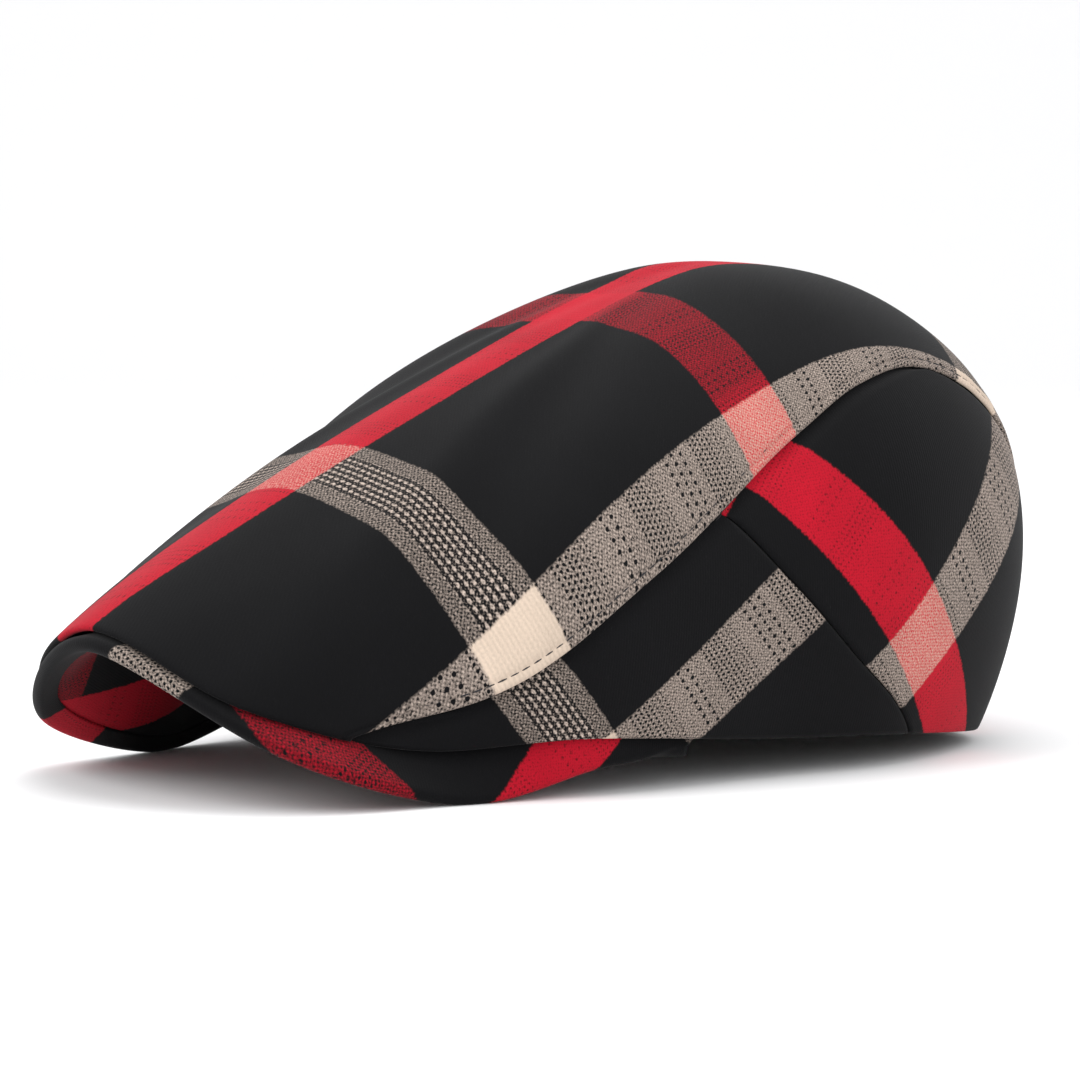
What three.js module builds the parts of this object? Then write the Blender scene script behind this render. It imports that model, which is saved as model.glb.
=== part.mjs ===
// Duckbill newsboy cap, in millimetres. +Z is up, the bill points to -Y and +X is the wearer's left.
// The cap rests on the table plane z = 0, with the origin under the middle of its bounding box.
//
// The crown is one smooth dome. A point on it is named by its place on a flat unit disc: the disc's
// rim is the crown's hem, its centre is the top of the dome, (0, -1) is the front and (0, 1) the back.
// Each panel and lining is a patch of that disc, mapped to the dome and given a thickness.

import * as THREE from 'three';

// ---------- crown ----------

// the hem, from the centre front round the wearer's left side to the centre back
const HEM = [
  [0, -139, 42.5], [44, -126, 26], [61, -83, 12.5], [77, -44.5, 12.5],
  [79, 10, 8], [80, 60, 5], [55, 110, 0], [0, 123, 0],
];
const APEX = new THREE.Vector3(0, 62, 129);

// how each meridian of the dome leaves the apex and reaches the hem: at the front, side and back
const APEX_REACH = { front: 33, side: 54, back: 66 };
const HEM_REACH = { front: 47, side: 72, back: 90 };
const HEM_SLOPE = { front: 146, side: 73, back: 59 }; // degrees, 90 is upright, more leans inwards
const FRONT_SLOPE_WIDTH = 0.23; // share of the half hem over which the flat front slope fades

// ---------- where the crown is cut, on the disc (wearer's left side) ----------

// seam between the top panel and the panels below it, front hem to back hem
const SEAM = [
  [0.65, -0.76], [0.80, -0.46], [0.835, -0.25], [0.78, -0.06], [0.685, 0.075],
  [0.54, 0.19], [0.40, 0.265], [0.30, 0.34], [0.258, 0.5], [0.235, 0.75], [0.22, 0.9755],
];
const SEAM_AT_DIAGONAL = 4; // the point of SEAM where the side panel ends and the back panel starts
const SEAM_AT_CORNER = 7; // the point of SEAM where it turns down the back

// seam between the side panel and the back panel, top to hem
const DIAGONAL = [[0.685, 0.075], [0.765, 0.24], [0.805, 0.42], [0.78, 0.626]];

// the lining is cut smaller, because it ends in the sweatband's seam
const LINING_SEAM = [
  [0.50, -0.54], [0.66, -0.33], [0.72, -0.12], [0.685, 0.075], [0.54, 0.19],
  [0.40, 0.265], [0.30, 0.34], [0.258, 0.5], [0.235, 0.72], [0.21, 0.90],
];
const LINING_HEM = [
  [0.50, -0.54], [0.70, -0.41], [0.845, -0.13], [0.91, 0.16], [0.78, 0.50], [0.50, 0.78], [0.21, 0.90],
];
const LINING_RADIUS_FRONT = 0.736;
const LINING_RADIUS_BACK = 0.924;

// ---------- layers, as depths below the crown's outer face ----------

const PANEL_DEPTH = 1.4;
const TURNED_HEM_DEPTH = 3.0; // the panels are turned in and doubled along the hem at the sides and back
const TURNED_HEM_FROM = 0.9; // disc radius where the turned hem starts
const TURNED_HEM_SIDE = [0.56, 0.66]; // share of the half hem over which the doubling fades in
const INTERFACING = { depths: [2.4, 3.0], halfShare: 0.2, hemRadius: 0.82, topRadius: 0.45 };
const LINING_DEPTHS = [4.0, 4.6];
const SEAM_GAP_ACROSS = 0.005; // share of a patch left free at each seam, across and along it
const SEAM_GAP_ALONG = 0.0045;
const SIDE_PANEL_GAPS = { start: 0.03, end: SEAM_GAP_ALONG, low: 0, high: 3 * SEAM_GAP_ACROSS };
const SIDE_LINING_GAPS = { start: 0.07, end: 0.04, low: 0, high: 8 * SEAM_GAP_ACROSS };
const CELLS = {
  topPanel: 18, sidePanel: [16, 7], backPanel: [9, 9],
  interfacing: [10, 8], topLining: 14, sideLining: [18, 6],
};

// ---------- bill ----------

// the board's edge, from the centre front to where it ends under the hem at the side
const RIM = [[0, -140.4, 38.2], [51.3, -120.8, 15.6], [65.3, -76.6, 1.9], [73, -39, 8.5], [76, -11, 9.5]];
// the board's inner edge, along the front of the head opening
const INNER_EDGE = [[0, -85, 62], [30, -76, 55], [55, -55, 38], [69, -31, 21], [74, -13, 14]];
const BILL_UNDER_HEM = 5.0; // depth of the board's middle below the crown at the hem
const BOARD_HALF = 0.7;
const COVER_INSIDE = 1.4; // the covers' faces, from the middle of the board
const COVER_OUTSIDE = 2.15;
const BOARD_SPAN = [0.03, 0.97]; // the board's share of the way from inner edge to rim
const RIM_TURN_UNDER = 0.9; // the top cover wraps the rim and ends here on the underside
const UNDER_COVER_END = 0.82;
// share of the half hem that the bill passes under, as a cubic of how far across the bill is
const HEM_SHARE_PASSED = { linear: 0.68, cubic: -0.16 };
const BILL_STEPS = 28;
const BILL_ENDS = [0.012, 0.988];

// ---------- sweatband ----------

const BAND_LOWER = [
  [0, -82, 63], [30, -73, 56], [52, -53, 39], [66, -30, 22], [72, 10, 11], [73.5, 60, 8],
  [50, 104, 3.5], [0, 117, 3.5],
];
const BAND_UPPER = [
  [0, -55, 76], [28, -48, 73], [49, -32, 63], [63, -8, 52], [69, 25, 43], [70, 64, 39],
  [48, 104, 34], [0, 119, 34],
];
const BAND_THICKNESS = 1.2;
const ELASTIC = { fromShare: 0.8, low: 0.22, high: 0.82, gap: 0.6, thickness: 0.8 };

const LABEL = { width: 18, length: 24, thickness: 0.6, hinge: new THREE.Vector3(0, 114.5, 31) };

const THREAD = { radius: 0.35, above: 1.2, fromSeam: 0.03, sides: 4, steps: 44 };

// ---------- finishes ----------

const BLACK_WOOL = { color: 0x1c1c20, roughness: 0.95, metalness: 0 };
const BRIM_WOOL = { color: 0x201a1e, roughness: 0.95, metalness: 0 };
const SATIN = { color: 0x17171a, roughness: 0.5, metalness: 0 };
const COTTON_BAND = { color: 0x141416, roughness: 0.8, metalness: 0 };
const BOARD_PLASTIC = { color: 0xd8d5cc, roughness: 0.6, metalness: 0 };
const STITCH = { color: 0x2a2828, roughness: 0.7, metalness: 0 };
const LABEL_TAPE = { color: 0xe6e2d8, roughness: 0.7, metalness: 0 };

// ---------- helpers ----------

const { lerp, smoothstep, degToRad } = THREE.MathUtils;

/** A smooth closed curve through half an outline and its mirror image across x = 0. */
function mirroredLoop(half) {
  const left = half.map((p) => new THREE.Vector3(...p));
  const right = left.slice(1, -1).reverse().map((p) => new THREE.Vector3(-p.x, p.y, p.z));
  return new THREE.CatmullRomCurve3([...left, ...right], true, 'catmullrom', 0.5);
}

/** A smooth open curve through half an edge and its mirror image, right end to left end. */
function mirroredArc(half) {
  const left = half.map((p) => new THREE.Vector3(...p));
  const right = left.slice(1).reverse().map((p) => new THREE.Vector3(-p.x, p.y, p.z));
  return new THREE.CatmullRomCurve3([...right, ...left], false, 'catmullrom', 0.5);
}

/** A smooth curve on the disc. */
function discCurve(points) {
  return new THREE.SplineCurve(points.map((p) => new THREE.Vector2(...p)));
}

/** A value that is `front`, `side` and `back` at those three places round the hem. */
function roundTheHem({ front, side, back }, share) {
  const c1 = Math.cos(Math.PI * share);
  const c2 = Math.cos(2 * Math.PI * share);
  const ends = (front + back) / 4;
  return ends + side / 2 + ((front - back) / 2) * c1 + (ends - side / 2) * c2;
}

const hemCurve = mirroredLoop(HEM);

/** The dome's outer face at a disc point. */
function domePoint(p) {
  const angle = Math.atan2(p.x, -p.y) / Math.PI; // -1 to 1 round the hem, 0 at the front
  const share = Math.abs(angle);
  const hem = hemCurve.getPoint((angle / 2 + 1) % 1);
  const outwards = new THREE.Vector3(hem.x - APEX.x, hem.y - APEX.y, 0).normalize();
  const backLean = (HEM_SLOPE.back - HEM_SLOPE.side) * Math.max(0, 2 * share - 1) ** 2;
  const frontLean = (HEM_SLOPE.front - HEM_SLOPE.side) * Math.exp(-((share / FRONT_SLOPE_WIDTH) ** 2));
  const slope = degToRad(HEM_SLOPE.side + backLean + frontLean);
  const hemReach = roundTheHem(HEM_REACH, share);
  const nearApex = APEX.clone().addScaledVector(outwards, roundTheHem(APEX_REACH, share));
  const nearHem = hem.clone().addScaledVector(outwards, hemReach * Math.cos(slope));
  nearHem.z += hemReach * Math.sin(slope);
  return new THREE.CubicBezierCurve3(APEX, nearApex, nearHem, hem).getPoint(Math.min(p.length(), 1));
}

/** The dome's outward normal at a disc point. */
function domeNormal(p) {
  const step = 0.004;
  const inside = p.length() > 1 - step ? p.clone().multiplyScalar(1 - 2 * step) : p;
  const along = (dx, dy) => {
    const ahead = domePoint(new THREE.Vector2(inside.x + dx, inside.y + dy));
    return ahead.sub(domePoint(new THREE.Vector2(inside.x - dx, inside.y - dy)));
  };
  return along(step, 0).cross(along(0, step)).normalize();
}

/** A point at a depth below the dome's outer face. The cut edge of the hem is level at the back. */
function domeDepth(p, depth) {
  const normal = domeNormal(p);
  const share = Math.abs(Math.atan2(p.x, -p.y)) / Math.PI;
  if (p.length() > 0.999) {
    normal.z *= 1 - smoothstep(share, 0.5, 0.7);
    normal.normalize();
  }
  const point = domePoint(p).addScaledVector(normal, -depth);
  point.z = Math.max(point.z, 0);
  return point;
}

/** The panels' inner face: deeper where the cloth is turned in and doubled along the hem. */
function panelDepth(p) {
  const share = Math.abs(Math.atan2(p.x, -p.y)) / Math.PI;
  const nearHem = smoothstep(p.length(), TURNED_HEM_FROM, TURNED_HEM_FROM + 0.04);
  const doubled = nearHem * smoothstep(share, ...TURNED_HEM_SIDE);
  return lerp(PANEL_DEPTH, TURNED_HEM_DEPTH, doubled);
}

/** A closed body from two matching grids of points, or a closed ring where the rows run round. */
function slab(outer, inner, ring = false) {
  const rows = outer.length;
  const columns = outer[0].length;
  const positions = [...outer.flat(), ...inner.flat()].flatMap((point) => point.toArray());
  const at = (layer, i, j) => (layer * rows + (i % rows)) * columns + j;
  const index = [];
  const quad = (a, b, c, d) => index.push(a, b, c, a, c, d);
  const spans = ring ? rows : rows - 1;
  for (let i = 0; i < spans; i++) {
    for (let j = 0; j < columns - 1; j++) {
      quad(at(0, i, j), at(0, i + 1, j), at(0, i + 1, j + 1), at(0, i, j + 1));
      quad(at(1, i, j), at(1, i, j + 1), at(1, i + 1, j + 1), at(1, i + 1, j));
    }
    quad(at(0, i, 0), at(1, i, 0), at(1, i + 1, 0), at(0, i + 1, 0));
    quad(at(0, i, columns - 1), at(0, i + 1, columns - 1), at(1, i + 1, columns - 1), at(1, i, columns - 1));
  }
  for (let j = 0; j < columns - 1 && !ring; j++) {
    quad(at(0, 0, j), at(0, 0, j + 1), at(1, 0, j + 1), at(1, 0, j));
    quad(at(0, rows - 1, j), at(1, rows - 1, j), at(1, rows - 1, j + 1), at(0, rows - 1, j + 1));
  }
  const geometry = new THREE.BufferGeometry();
  geometry.setAttribute('position', new THREE.Float32BufferAttribute(positions, 3));
  geometry.setIndex(signedVolume(positions, index) > 0 ? index : index.reverse());
  geometry.computeVertexNormals();
  return geometry;
}

/** Six times the volume inside a triangle list, negative when its faces point inwards. */
function signedVolume(positions, index) {
  const corner = (k) => new THREE.Vector3().fromArray(positions, 3 * index[k]);
  let sum = 0;
  for (let k = 0; k < index.length; k += 3) {
    sum += corner(k).dot(corner(k + 1).cross(corner(k + 2)));
  }
  return sum;
}

/** Points of a four-sided disc patch, blended from its four edges (a Coons patch). */
function coonsPoint({ low, high, start, end }, u, v) {
  const point = new THREE.Vector2();
  point.addScaledVector(low(u), 1 - v).addScaledVector(high(u), v);
  point.addScaledVector(start(v), 1 - u).addScaledVector(end(v), u);
  point.addScaledVector(low(0), -(1 - u) * (1 - v)).addScaledVector(low(1), -u * (1 - v));
  point.addScaledVector(high(0), -(1 - u) * v).addScaledVector(high(1), -u * v);
  return point;
}

/** A grid of disc points over a patch, drawn in from the edges named in `gaps`. */
function patchGrid(edges, across, along, gaps) {
  const grid = [];
  for (let i = 0; i <= across; i++) {
    const u = lerp(gaps.start, 1 - gaps.end, i / across);
    const column = [];
    for (let j = 0; j <= along; j++) {
      column.push(coonsPoint(edges, u, lerp(gaps.low, 1 - gaps.high, j / along)));
    }
    grid.push(column);
  }
  return grid;
}

/** A layer of the crown over a grid of disc points, between two depths. */
function crownLayer(grid, outerDepth, innerDepth) {
  const outer = grid.map((column) => column.map((p) => domeDepth(p, outerDepth)));
  const inner = grid.map((column) => column.map((p) => domeDepth(p, innerDepth(p))));
  return slab(outer, inner);
}

/** The same disc point on the other side of the cap. */
const mirrored = (p) => new THREE.Vector2(-p.x, p.y);

/** A disc point on a circle of the given radius, `share` of the way from front to back. */
function onCircle(share, radius = 1) {
  return new THREE.Vector2(Math.sin(Math.PI * share), -Math.cos(Math.PI * share)).multiplyScalar(radius);
}

/** A stretch of a curve between two of its own points, as a function of 0 to 1. */
function stretch(curve, from, to) {
  const last = curve.points.length - 1;
  return (t) => curve.getPoint(lerp(from, to, t) / last);
}

/** The share of the half hem at which a disc point lies. */
const shareOf = ([x, y]) => Math.atan2(x, -y) / Math.PI;

const parts = new THREE.Group();

/** Adds one named piece to the cap. */
function addPiece(name, geometry, finish) {
  const mesh = new THREE.Mesh(geometry, new THREE.MeshStandardMaterial(finish));
  mesh.name = name;
  parts.add(mesh);
}

// ---------- crown panels ----------

const seam = discCurve(SEAM);
const diagonal = discCurve(DIAGONAL);
const SEAM_END = SEAM.length - 1;
const frontShare = shareOf(SEAM[0]);
const diagonalShare = shareOf(DIAGONAL[DIAGONAL.length - 1]);
const tailShare = shareOf(SEAM[SEAM_END]);

function buildTopPanel() {
  const wholeSeam = stretch(seam, 0, SEAM_END);
  const edges = {
    low: (u) => onCircle(lerp(-frontShare, frontShare, u)),
    high: (u) => onCircle(1 + lerp(1 - tailShare, tailShare - 1, u)),
    start: (v) => mirrored(wholeSeam(v)),
    end: wholeSeam,
  };
  const gaps = { start: SEAM_GAP_ALONG, end: SEAM_GAP_ALONG, low: 0, high: 0 };
  const grid = patchGrid(edges, CELLS.topPanel, 3 * SEAM_END, gaps);
  addPiece('top_panel', crownLayer(grid, 0, panelDepth), BLACK_WOOL);
}

function buildSidePanel(name, side) {
  const edges = {
    low: (u) => onCircle(lerp(frontShare, diagonalShare, u)),
    high: stretch(seam, 0, SEAM_AT_DIAGONAL),
    start: () => onCircle(frontShare),
    end: (v) => diagonal.getPoint(1 - v),
  };
  const grid = patchGrid(edges, ...CELLS.sidePanel, SIDE_PANEL_GAPS).map((column) => column.map(side));
  addPiece(name, crownLayer(grid, 0, panelDepth), BLACK_WOOL);
}

function buildBackPanel(name, side) {
  const edges = {
    low: (u) => onCircle(lerp(diagonalShare, tailShare, u)),
    high: stretch(seam, SEAM_AT_DIAGONAL, SEAM_AT_CORNER),
    start: (v) => diagonal.getPoint(1 - v),
    end: stretch(seam, SEAM_END, SEAM_AT_CORNER),
  };
  const gap = SEAM_GAP_ACROSS;
  const gaps = { start: gap, end: gap, low: 0, high: gap };
  const grid = patchGrid(edges, ...CELLS.backPanel, gaps).map((column) => column.map(side));
  addPiece(name, crownLayer(grid, 0, panelDepth), BLACK_WOOL);
}

function buildInterfacing() {
  const { depths, halfShare, hemRadius, topRadius } = INTERFACING;
  const across = (u) => lerp(-halfShare, halfShare, u);
  const edges = {
    low: (u) => onCircle(across(u), hemRadius),
    high: (u) => onCircle(across(u), topRadius),
    start: (v) => onCircle(-halfShare, lerp(hemRadius, topRadius, v)),
    end: (v) => onCircle(halfShare, lerp(hemRadius, topRadius, v)),
  };
  const grid = patchGrid(edges, ...CELLS.interfacing, { start: 0, end: 0, low: 0, high: 0 });
  addPiece('front_interfacing', crownLayer(grid, depths[0], () => depths[1]), STITCH);
}

// ---------- lining ----------

const liningSeam = discCurve(LINING_SEAM);
const liningHem = discCurve(LINING_HEM);

function buildTopLining() {
  const last = LINING_SEAM.length - 1;
  const wholeSeam = stretch(liningSeam, 0, last);
  const front = shareOf(LINING_SEAM[0]);
  const back = shareOf(LINING_SEAM[last]);
  const edges = {
    low: (u) => onCircle(lerp(-front, front, u), LINING_RADIUS_FRONT),
    high: (u) => onCircle(1 + lerp(1 - back, back - 1, u), LINING_RADIUS_BACK),
    start: (v) => mirrored(wholeSeam(v)),
    end: wholeSeam,
  };
  const gaps = { start: SEAM_GAP_ALONG, end: SEAM_GAP_ALONG, low: 0, high: 0 };
  const grid = patchGrid(edges, CELLS.topLining, 2 * last, gaps);
  addPiece('top_lining', crownLayer(grid, LINING_DEPTHS[0], () => LINING_DEPTHS[1]), SATIN);
}

function buildSideLining(name, side) {
  const edges = {
    low: (u) => liningHem.getPoint(u),
    high: (u) => liningSeam.getPoint(u),
    start: () => liningSeam.getPoint(0),
    end: () => liningSeam.getPoint(1),
  };
  const grid = patchGrid(edges, ...CELLS.sideLining, SIDE_LINING_GAPS).map((column) => column.map(side));
  addPiece(name, crownLayer(grid, LINING_DEPTHS[0], () => LINING_DEPTHS[1]), SATIN);
}

// ---------- bill ----------

const rimCurve = mirroredArc(RIM);
const innerCurve = mirroredArc(INNER_EDGE);

/**
 * The middle face of the bill: `across` runs right to left, `out` from the inner edge to the rim.
 * Every line from the inner edge to the rim passes just below the crown's hem on the way.
 */
function billMiddle(across, out) {
  const sigma = 2 * across - 1;
  const hem = onCircle(HEM_SHARE_PASSED.linear * sigma + HEM_SHARE_PASSED.cubic * sigma ** 3);
  const inner = innerCurve.getPoint(across);
  const middle = domePoint(hem).addScaledVector(domeNormal(hem), -BILL_UNDER_HEM);
  const rim = rimCurve.getPoint(across);
  const t = inner.distanceTo(middle) / (inner.distanceTo(middle) + middle.distanceTo(rim));
  const bend = middle.addScaledVector(inner, -((1 - t) ** 2)).addScaledVector(rim, -(t ** 2));
  bend.divideScalar(2 * t * (1 - t));
  return new THREE.QuadraticBezierCurve3(inner, bend, rim).getPoint(out);
}

/** Directions on the bill: `normal` out of its top face and `outwards` towards the rim. */
function billDirections(across, out) {
  const step = 0.01;
  const back = Math.min(out, 1 - step);
  const outwards = billMiddle(across, back + step).sub(billMiddle(across, back)).normalize();
  const sideways = billMiddle(Math.min(across + step, 1), out).sub(billMiddle(Math.max(across - step, 0), out));
  const normal = outwards.clone().cross(sideways).normalize();
  return { normal, outwards };
}

/** A point off the bill's middle face. Nothing reaches below the table. */
function billPoint(across, out, offset) {
  const point = billMiddle(across, out).addScaledVector(billDirections(across, out).normal, offset);
  point.z = Math.max(point.z, 0);
  return point;
}

/** A flat layer of the bill between two offsets from its middle face. */
function billLayer(from, to, outerOffset, innerOffset, rows = 6) {
  const grid = (offset) => {
    const lines = [];
    for (let i = 0; i <= BILL_STEPS; i++) {
      const across = lerp(...BILL_ENDS, i / BILL_STEPS);
      const line = [];
      for (let j = 0; j <= rows; j++) line.push(billPoint(across, lerp(from, to, j / rows), offset));
      lines.push(line);
    }
    return lines;
  };
  return slab(grid(outerOffset), grid(innerOffset));
}

/** The top cover: over the bill, round its rim and a little way back underneath. */
function buildBrimTopCover() {
  const topRows = 7;
  const turnRows = 5;
  const face = (radius) => {
    const lines = [];
    for (let i = 0; i <= BILL_STEPS; i++) {
      const across = lerp(...BILL_ENDS, i / BILL_STEPS);
      const line = [];
      for (let j = 0; j < topRows; j++) line.push(billPoint(across, j / topRows, radius));
      const { normal, outwards } = billDirections(across, 1);
      for (let j = 0; j <= turnRows; j++) {
        const turn = (Math.PI * j) / turnRows;
        const point = billMiddle(across, 1).addScaledVector(normal, radius * Math.cos(turn));
        point.addScaledVector(outwards, radius * Math.sin(turn));
        point.z = Math.max(point.z, COVER_OUTSIDE - radius);
        line.push(point);
      }
      line.push(billPoint(across, RIM_TURN_UNDER, -radius));
      lines.push(line);
    }
    return lines;
  };
  addPiece('brim_top_cover', slab(face(COVER_OUTSIDE), face(COVER_INSIDE)), BRIM_WOOL);
}

function buildBrimInside() {
  addPiece('brim_board', billLayer(...BOARD_SPAN, BOARD_HALF, -BOARD_HALF), BOARD_PLASTIC);
  addPiece('brim_under_cover', billLayer(0, UNDER_COVER_END, -COVER_INSIDE, -COVER_OUTSIDE, 5), BRIM_WOOL);
}

// ---------- sweatband and label ----------

const bandLower = mirroredLoop(BAND_LOWER);
const bandUpper = mirroredLoop(BAND_UPPER);

/** A point of the sweatband: round the opening from the front, up the band, and inwards of its face. */
function bandPoint(round, up, inwards) {
  const low = bandLower.getPoint(round);
  const high = bandUpper.getPoint(round);
  const ahead = bandLower.getPoint((round + 0.005) % 1).sub(bandLower.getPoint((round + 0.995) % 1));
  const normal = ahead.cross(high.clone().sub(low)).normalize();
  return low.lerp(high, up).addScaledVector(normal, -inwards);
}

function buildSweatband() {
  const around = 56;
  const rows = 3;
  const face = (inwards) => {
    const lines = [];
    for (let i = 0; i < around; i++) {
      const line = [];
      for (let j = 0; j <= rows; j++) line.push(bandPoint(i / around, j / rows, inwards));
      lines.push(line);
    }
    return lines;
  };
  addPiece('sweatband', slab(face(0), face(BAND_THICKNESS), true), COTTON_BAND);
}

function buildElastic() {
  const steps = 16;
  const face = (outwards) => {
    const lines = [];
    for (let i = 0; i <= steps; i++) {
      const round = lerp(ELASTIC.fromShare, 2 - ELASTIC.fromShare, i / steps) / 2;
      lines.push([ELASTIC.low, ELASTIC.high].map((up) => bandPoint(round, up, -outwards)));
    }
    return lines;
  };
  const elastic = slab(face(ELASTIC.gap + ELASTIC.thickness), face(ELASTIC.gap));
  addPiece('sweatband_elastic', elastic, LABEL_TAPE);
}

function buildLabel() {
  const geometry = new THREE.BoxGeometry(LABEL.width, LABEL.thickness, LABEL.length);
  geometry.translate(LABEL.hinge.x, LABEL.hinge.y, LABEL.hinge.z - LABEL.length / 2);
  addPiece('size_label', geometry, LABEL_TAPE);
}

// ---------- topstitching ----------

function buildSeamThread(name, side) {
  const points = [];
  for (let k = 1; k <= 2 * SEAM_END - 1; k++) {
    const t = k / (2 * SEAM_END);
    const inwards = seam.getTangent(t).rotateAround(new THREE.Vector2(), Math.PI / 2);
    const p = seam.getPoint(t).addScaledVector(inwards, THREAD.fromSeam);
    points.push(domeDepth(side(p), -THREAD.above));
  }
  const section = new THREE.Shape();
  section.absarc(0, 0, THREAD.radius, 0, 2 * Math.PI);
  const geometry = new THREE.ExtrudeGeometry(section, {
    steps: THREAD.steps,
    curveSegments: THREAD.sides / 2,
    extrudePath: new THREE.CatmullRomCurve3(points),
  });
  addPiece(name, geometry, STITCH);
}

const asDrawn = (p) => p;

buildTopPanel();
buildSidePanel('left_side_panel', asDrawn);
buildSidePanel('right_side_panel', mirrored);
buildBackPanel('left_back_panel', asDrawn);
buildBackPanel('right_back_panel', mirrored);
buildInterfacing();
buildTopLining();
buildSideLining('left_lining', asDrawn);
buildSideLining('right_lining', mirrored);
buildBrimTopCover();
buildBrimInside();
buildSweatband();
buildElastic();
buildLabel();
buildSeamThread('left_seam_thread', asDrawn);
buildSeamThread('right_seam_thread', mirrored);

export default parts;
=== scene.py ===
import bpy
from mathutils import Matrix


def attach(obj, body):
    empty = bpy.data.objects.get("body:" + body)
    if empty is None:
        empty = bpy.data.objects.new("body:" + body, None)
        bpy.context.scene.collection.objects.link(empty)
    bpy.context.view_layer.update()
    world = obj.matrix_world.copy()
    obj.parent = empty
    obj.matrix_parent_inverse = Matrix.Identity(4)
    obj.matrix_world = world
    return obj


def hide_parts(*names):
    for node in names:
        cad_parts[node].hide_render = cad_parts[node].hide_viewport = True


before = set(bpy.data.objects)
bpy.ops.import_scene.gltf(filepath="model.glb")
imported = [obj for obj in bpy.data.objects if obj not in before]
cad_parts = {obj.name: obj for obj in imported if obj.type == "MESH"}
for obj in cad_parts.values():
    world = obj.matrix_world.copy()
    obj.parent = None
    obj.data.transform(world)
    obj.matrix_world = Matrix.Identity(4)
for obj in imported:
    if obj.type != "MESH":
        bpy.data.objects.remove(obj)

"""Duckbill newsboy cap in checked wool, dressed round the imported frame.

Lengths in the classes are in millimetres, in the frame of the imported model: +Z up, the bill towards -Y,
+X the wearer's left. They are turned to metres where a mesh gets its place.
"""

import logging
import math
from dataclasses import dataclass, field
from enum import Enum
from typing import Callable, Sequence

import bmesh
import bpy
import numpy as np
from mathutils import Matrix, Vector

log = logging.getLogger("newsboy_cap")
MM = 0.001
BODY = "cap"
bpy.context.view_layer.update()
FIT_UNIT = 100  # millimetres in one unit of the cloth's fit, so that its powers stay small

Array = np.ndarray
Place = Callable[[Array, Array], Array]
Tree = bpy.types.NodeTree
Socket = bpy.types.NodeSocket


class Side(Enum):
    """The wearer's sides, each with the sign of its X."""

    LEFT = 1
    RIGHT = -1

    @property
    def word(self) -> str:
        """The side as the names of pieces say it."""
        return self.name.lower()


# ---------------------------------------------------------------- small helpers


def linear(hex_colour: str) -> tuple[float, float, float, float]:
    """Turns an sRGB hex colour into the linear colour that a shader takes.

    Args:
        hex_colour: Six hex digits, such as "c41f2c".

    Returns:
        Red, green and blue in linear light, and an alpha of 1.
    """
    channels = [int(hex_colour[i:i + 2], 16) / 255 for i in (0, 2, 4)]
    lit = [c / 12.92 if c <= 0.04045 else ((c + 0.055) / 1.055) ** 2.4 for c in channels]
    return (*lit, 1.0)


def add(tree: Tree, kind: str, *values: object, out: str | int = 0, links: dict | None = None,
        **settings: object) -> Socket:
    """Adds one shader node, sets it up and links it.

    Args:
        tree: The node tree that gets the node.
        kind: The node's type without its "ShaderNode" prefix, and any operation after a colon: "Math:ADD".
        values: What goes into its first inputs, in order: a socket, a number, a colour, or None to skip one.
        out: The output to hand back, by name or number.
        links: What goes into inputs given by name.
        settings: Properties of the node, such as data_type="RGBA".

    Returns:
        The chosen output socket.
    """
    kind, _, operation = kind.partition(":")
    node = tree.nodes.new("ShaderNode" + kind)
    if operation:
        node.operation = operation
    for name, value in settings.items():
        setattr(node, name, value)
    wanted = [*enumerate(values), *(links or {}).items()]
    for key, value in wanted:
        if isinstance(value, bpy.types.NodeSocket):
            tree.links.new(value, node.inputs[key])
        elif value is not None:
            node.inputs[key].default_value = value
    return node.outputs[out]


def spline(points: Array, place: Array, closed: bool = False) -> Array:
    """Points of a uniform Catmull-Rom curve.

    Args:
        points: The points that the curve passes through, one a row.
        place: Where along the curve, 0 to 1, with the given points evenly spaced.
        closed: Whether the curve runs on from its last point to its first.

    Returns:
        One point for each place.
    """
    count = len(points)
    place = np.asarray(place, float)
    if closed:
        run = (place % 1.0) * count
        index = np.floor(run).astype(int)
        before, start, end, after = (points[(index + k) % count] for k in (-1, 0, 1, 2))
    else:
        run = np.clip(place, 0, 1) * (count - 1)
        index = np.minimum(np.floor(run).astype(int), count - 2)
        longer = np.vstack([2 * points[0] - points[1], points, 2 * points[-1] - points[-2]])
        before, start, end, after = (longer[index + k] for k in (0, 1, 2, 3))
    t = (run - index)[..., None]
    leave, arrive = (end - before) / 2, (after - start) / 2
    return (
        (2 * t**3 - 3 * t**2 + 1) * start + (t**3 - 2 * t**2 + t) * leave
        + (3 * t**2 - 2 * t**3) * end + (t**3 - t**2) * arrive
    )


def unit(vectors: Array) -> Array:
    """Vectors scaled to length 1."""
    return vectors / np.maximum(np.linalg.norm(vectors, axis=-1, keepdims=True), 1e-9)


def fade(values: Array, low: float, high: float) -> Array:
    """A smooth step from 0 at `low` to 1 at `high`."""
    t = np.clip((values - low) / (high - low), 0, 1)
    return t * t * (3 - 2 * t)


def mirrored_loop(half: Sequence[Sequence[float]]) -> Array:
    """A closed outline from its left half, front centre first and back centre last."""
    left = np.array(half, float)
    right = left[-2:0:-1] * (-1, 1, 1)
    return np.vstack([left, right])


def mirrored_arc(half: Sequence[Sequence[float]]) -> Array:
    """An open edge, right end to left end, from its left half with the centre first."""
    left = np.array(half, float)
    return np.vstack([left[:0:-1] * (-1, 1, 1), left])


# ---------------------------------------------------------------- forms


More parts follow.
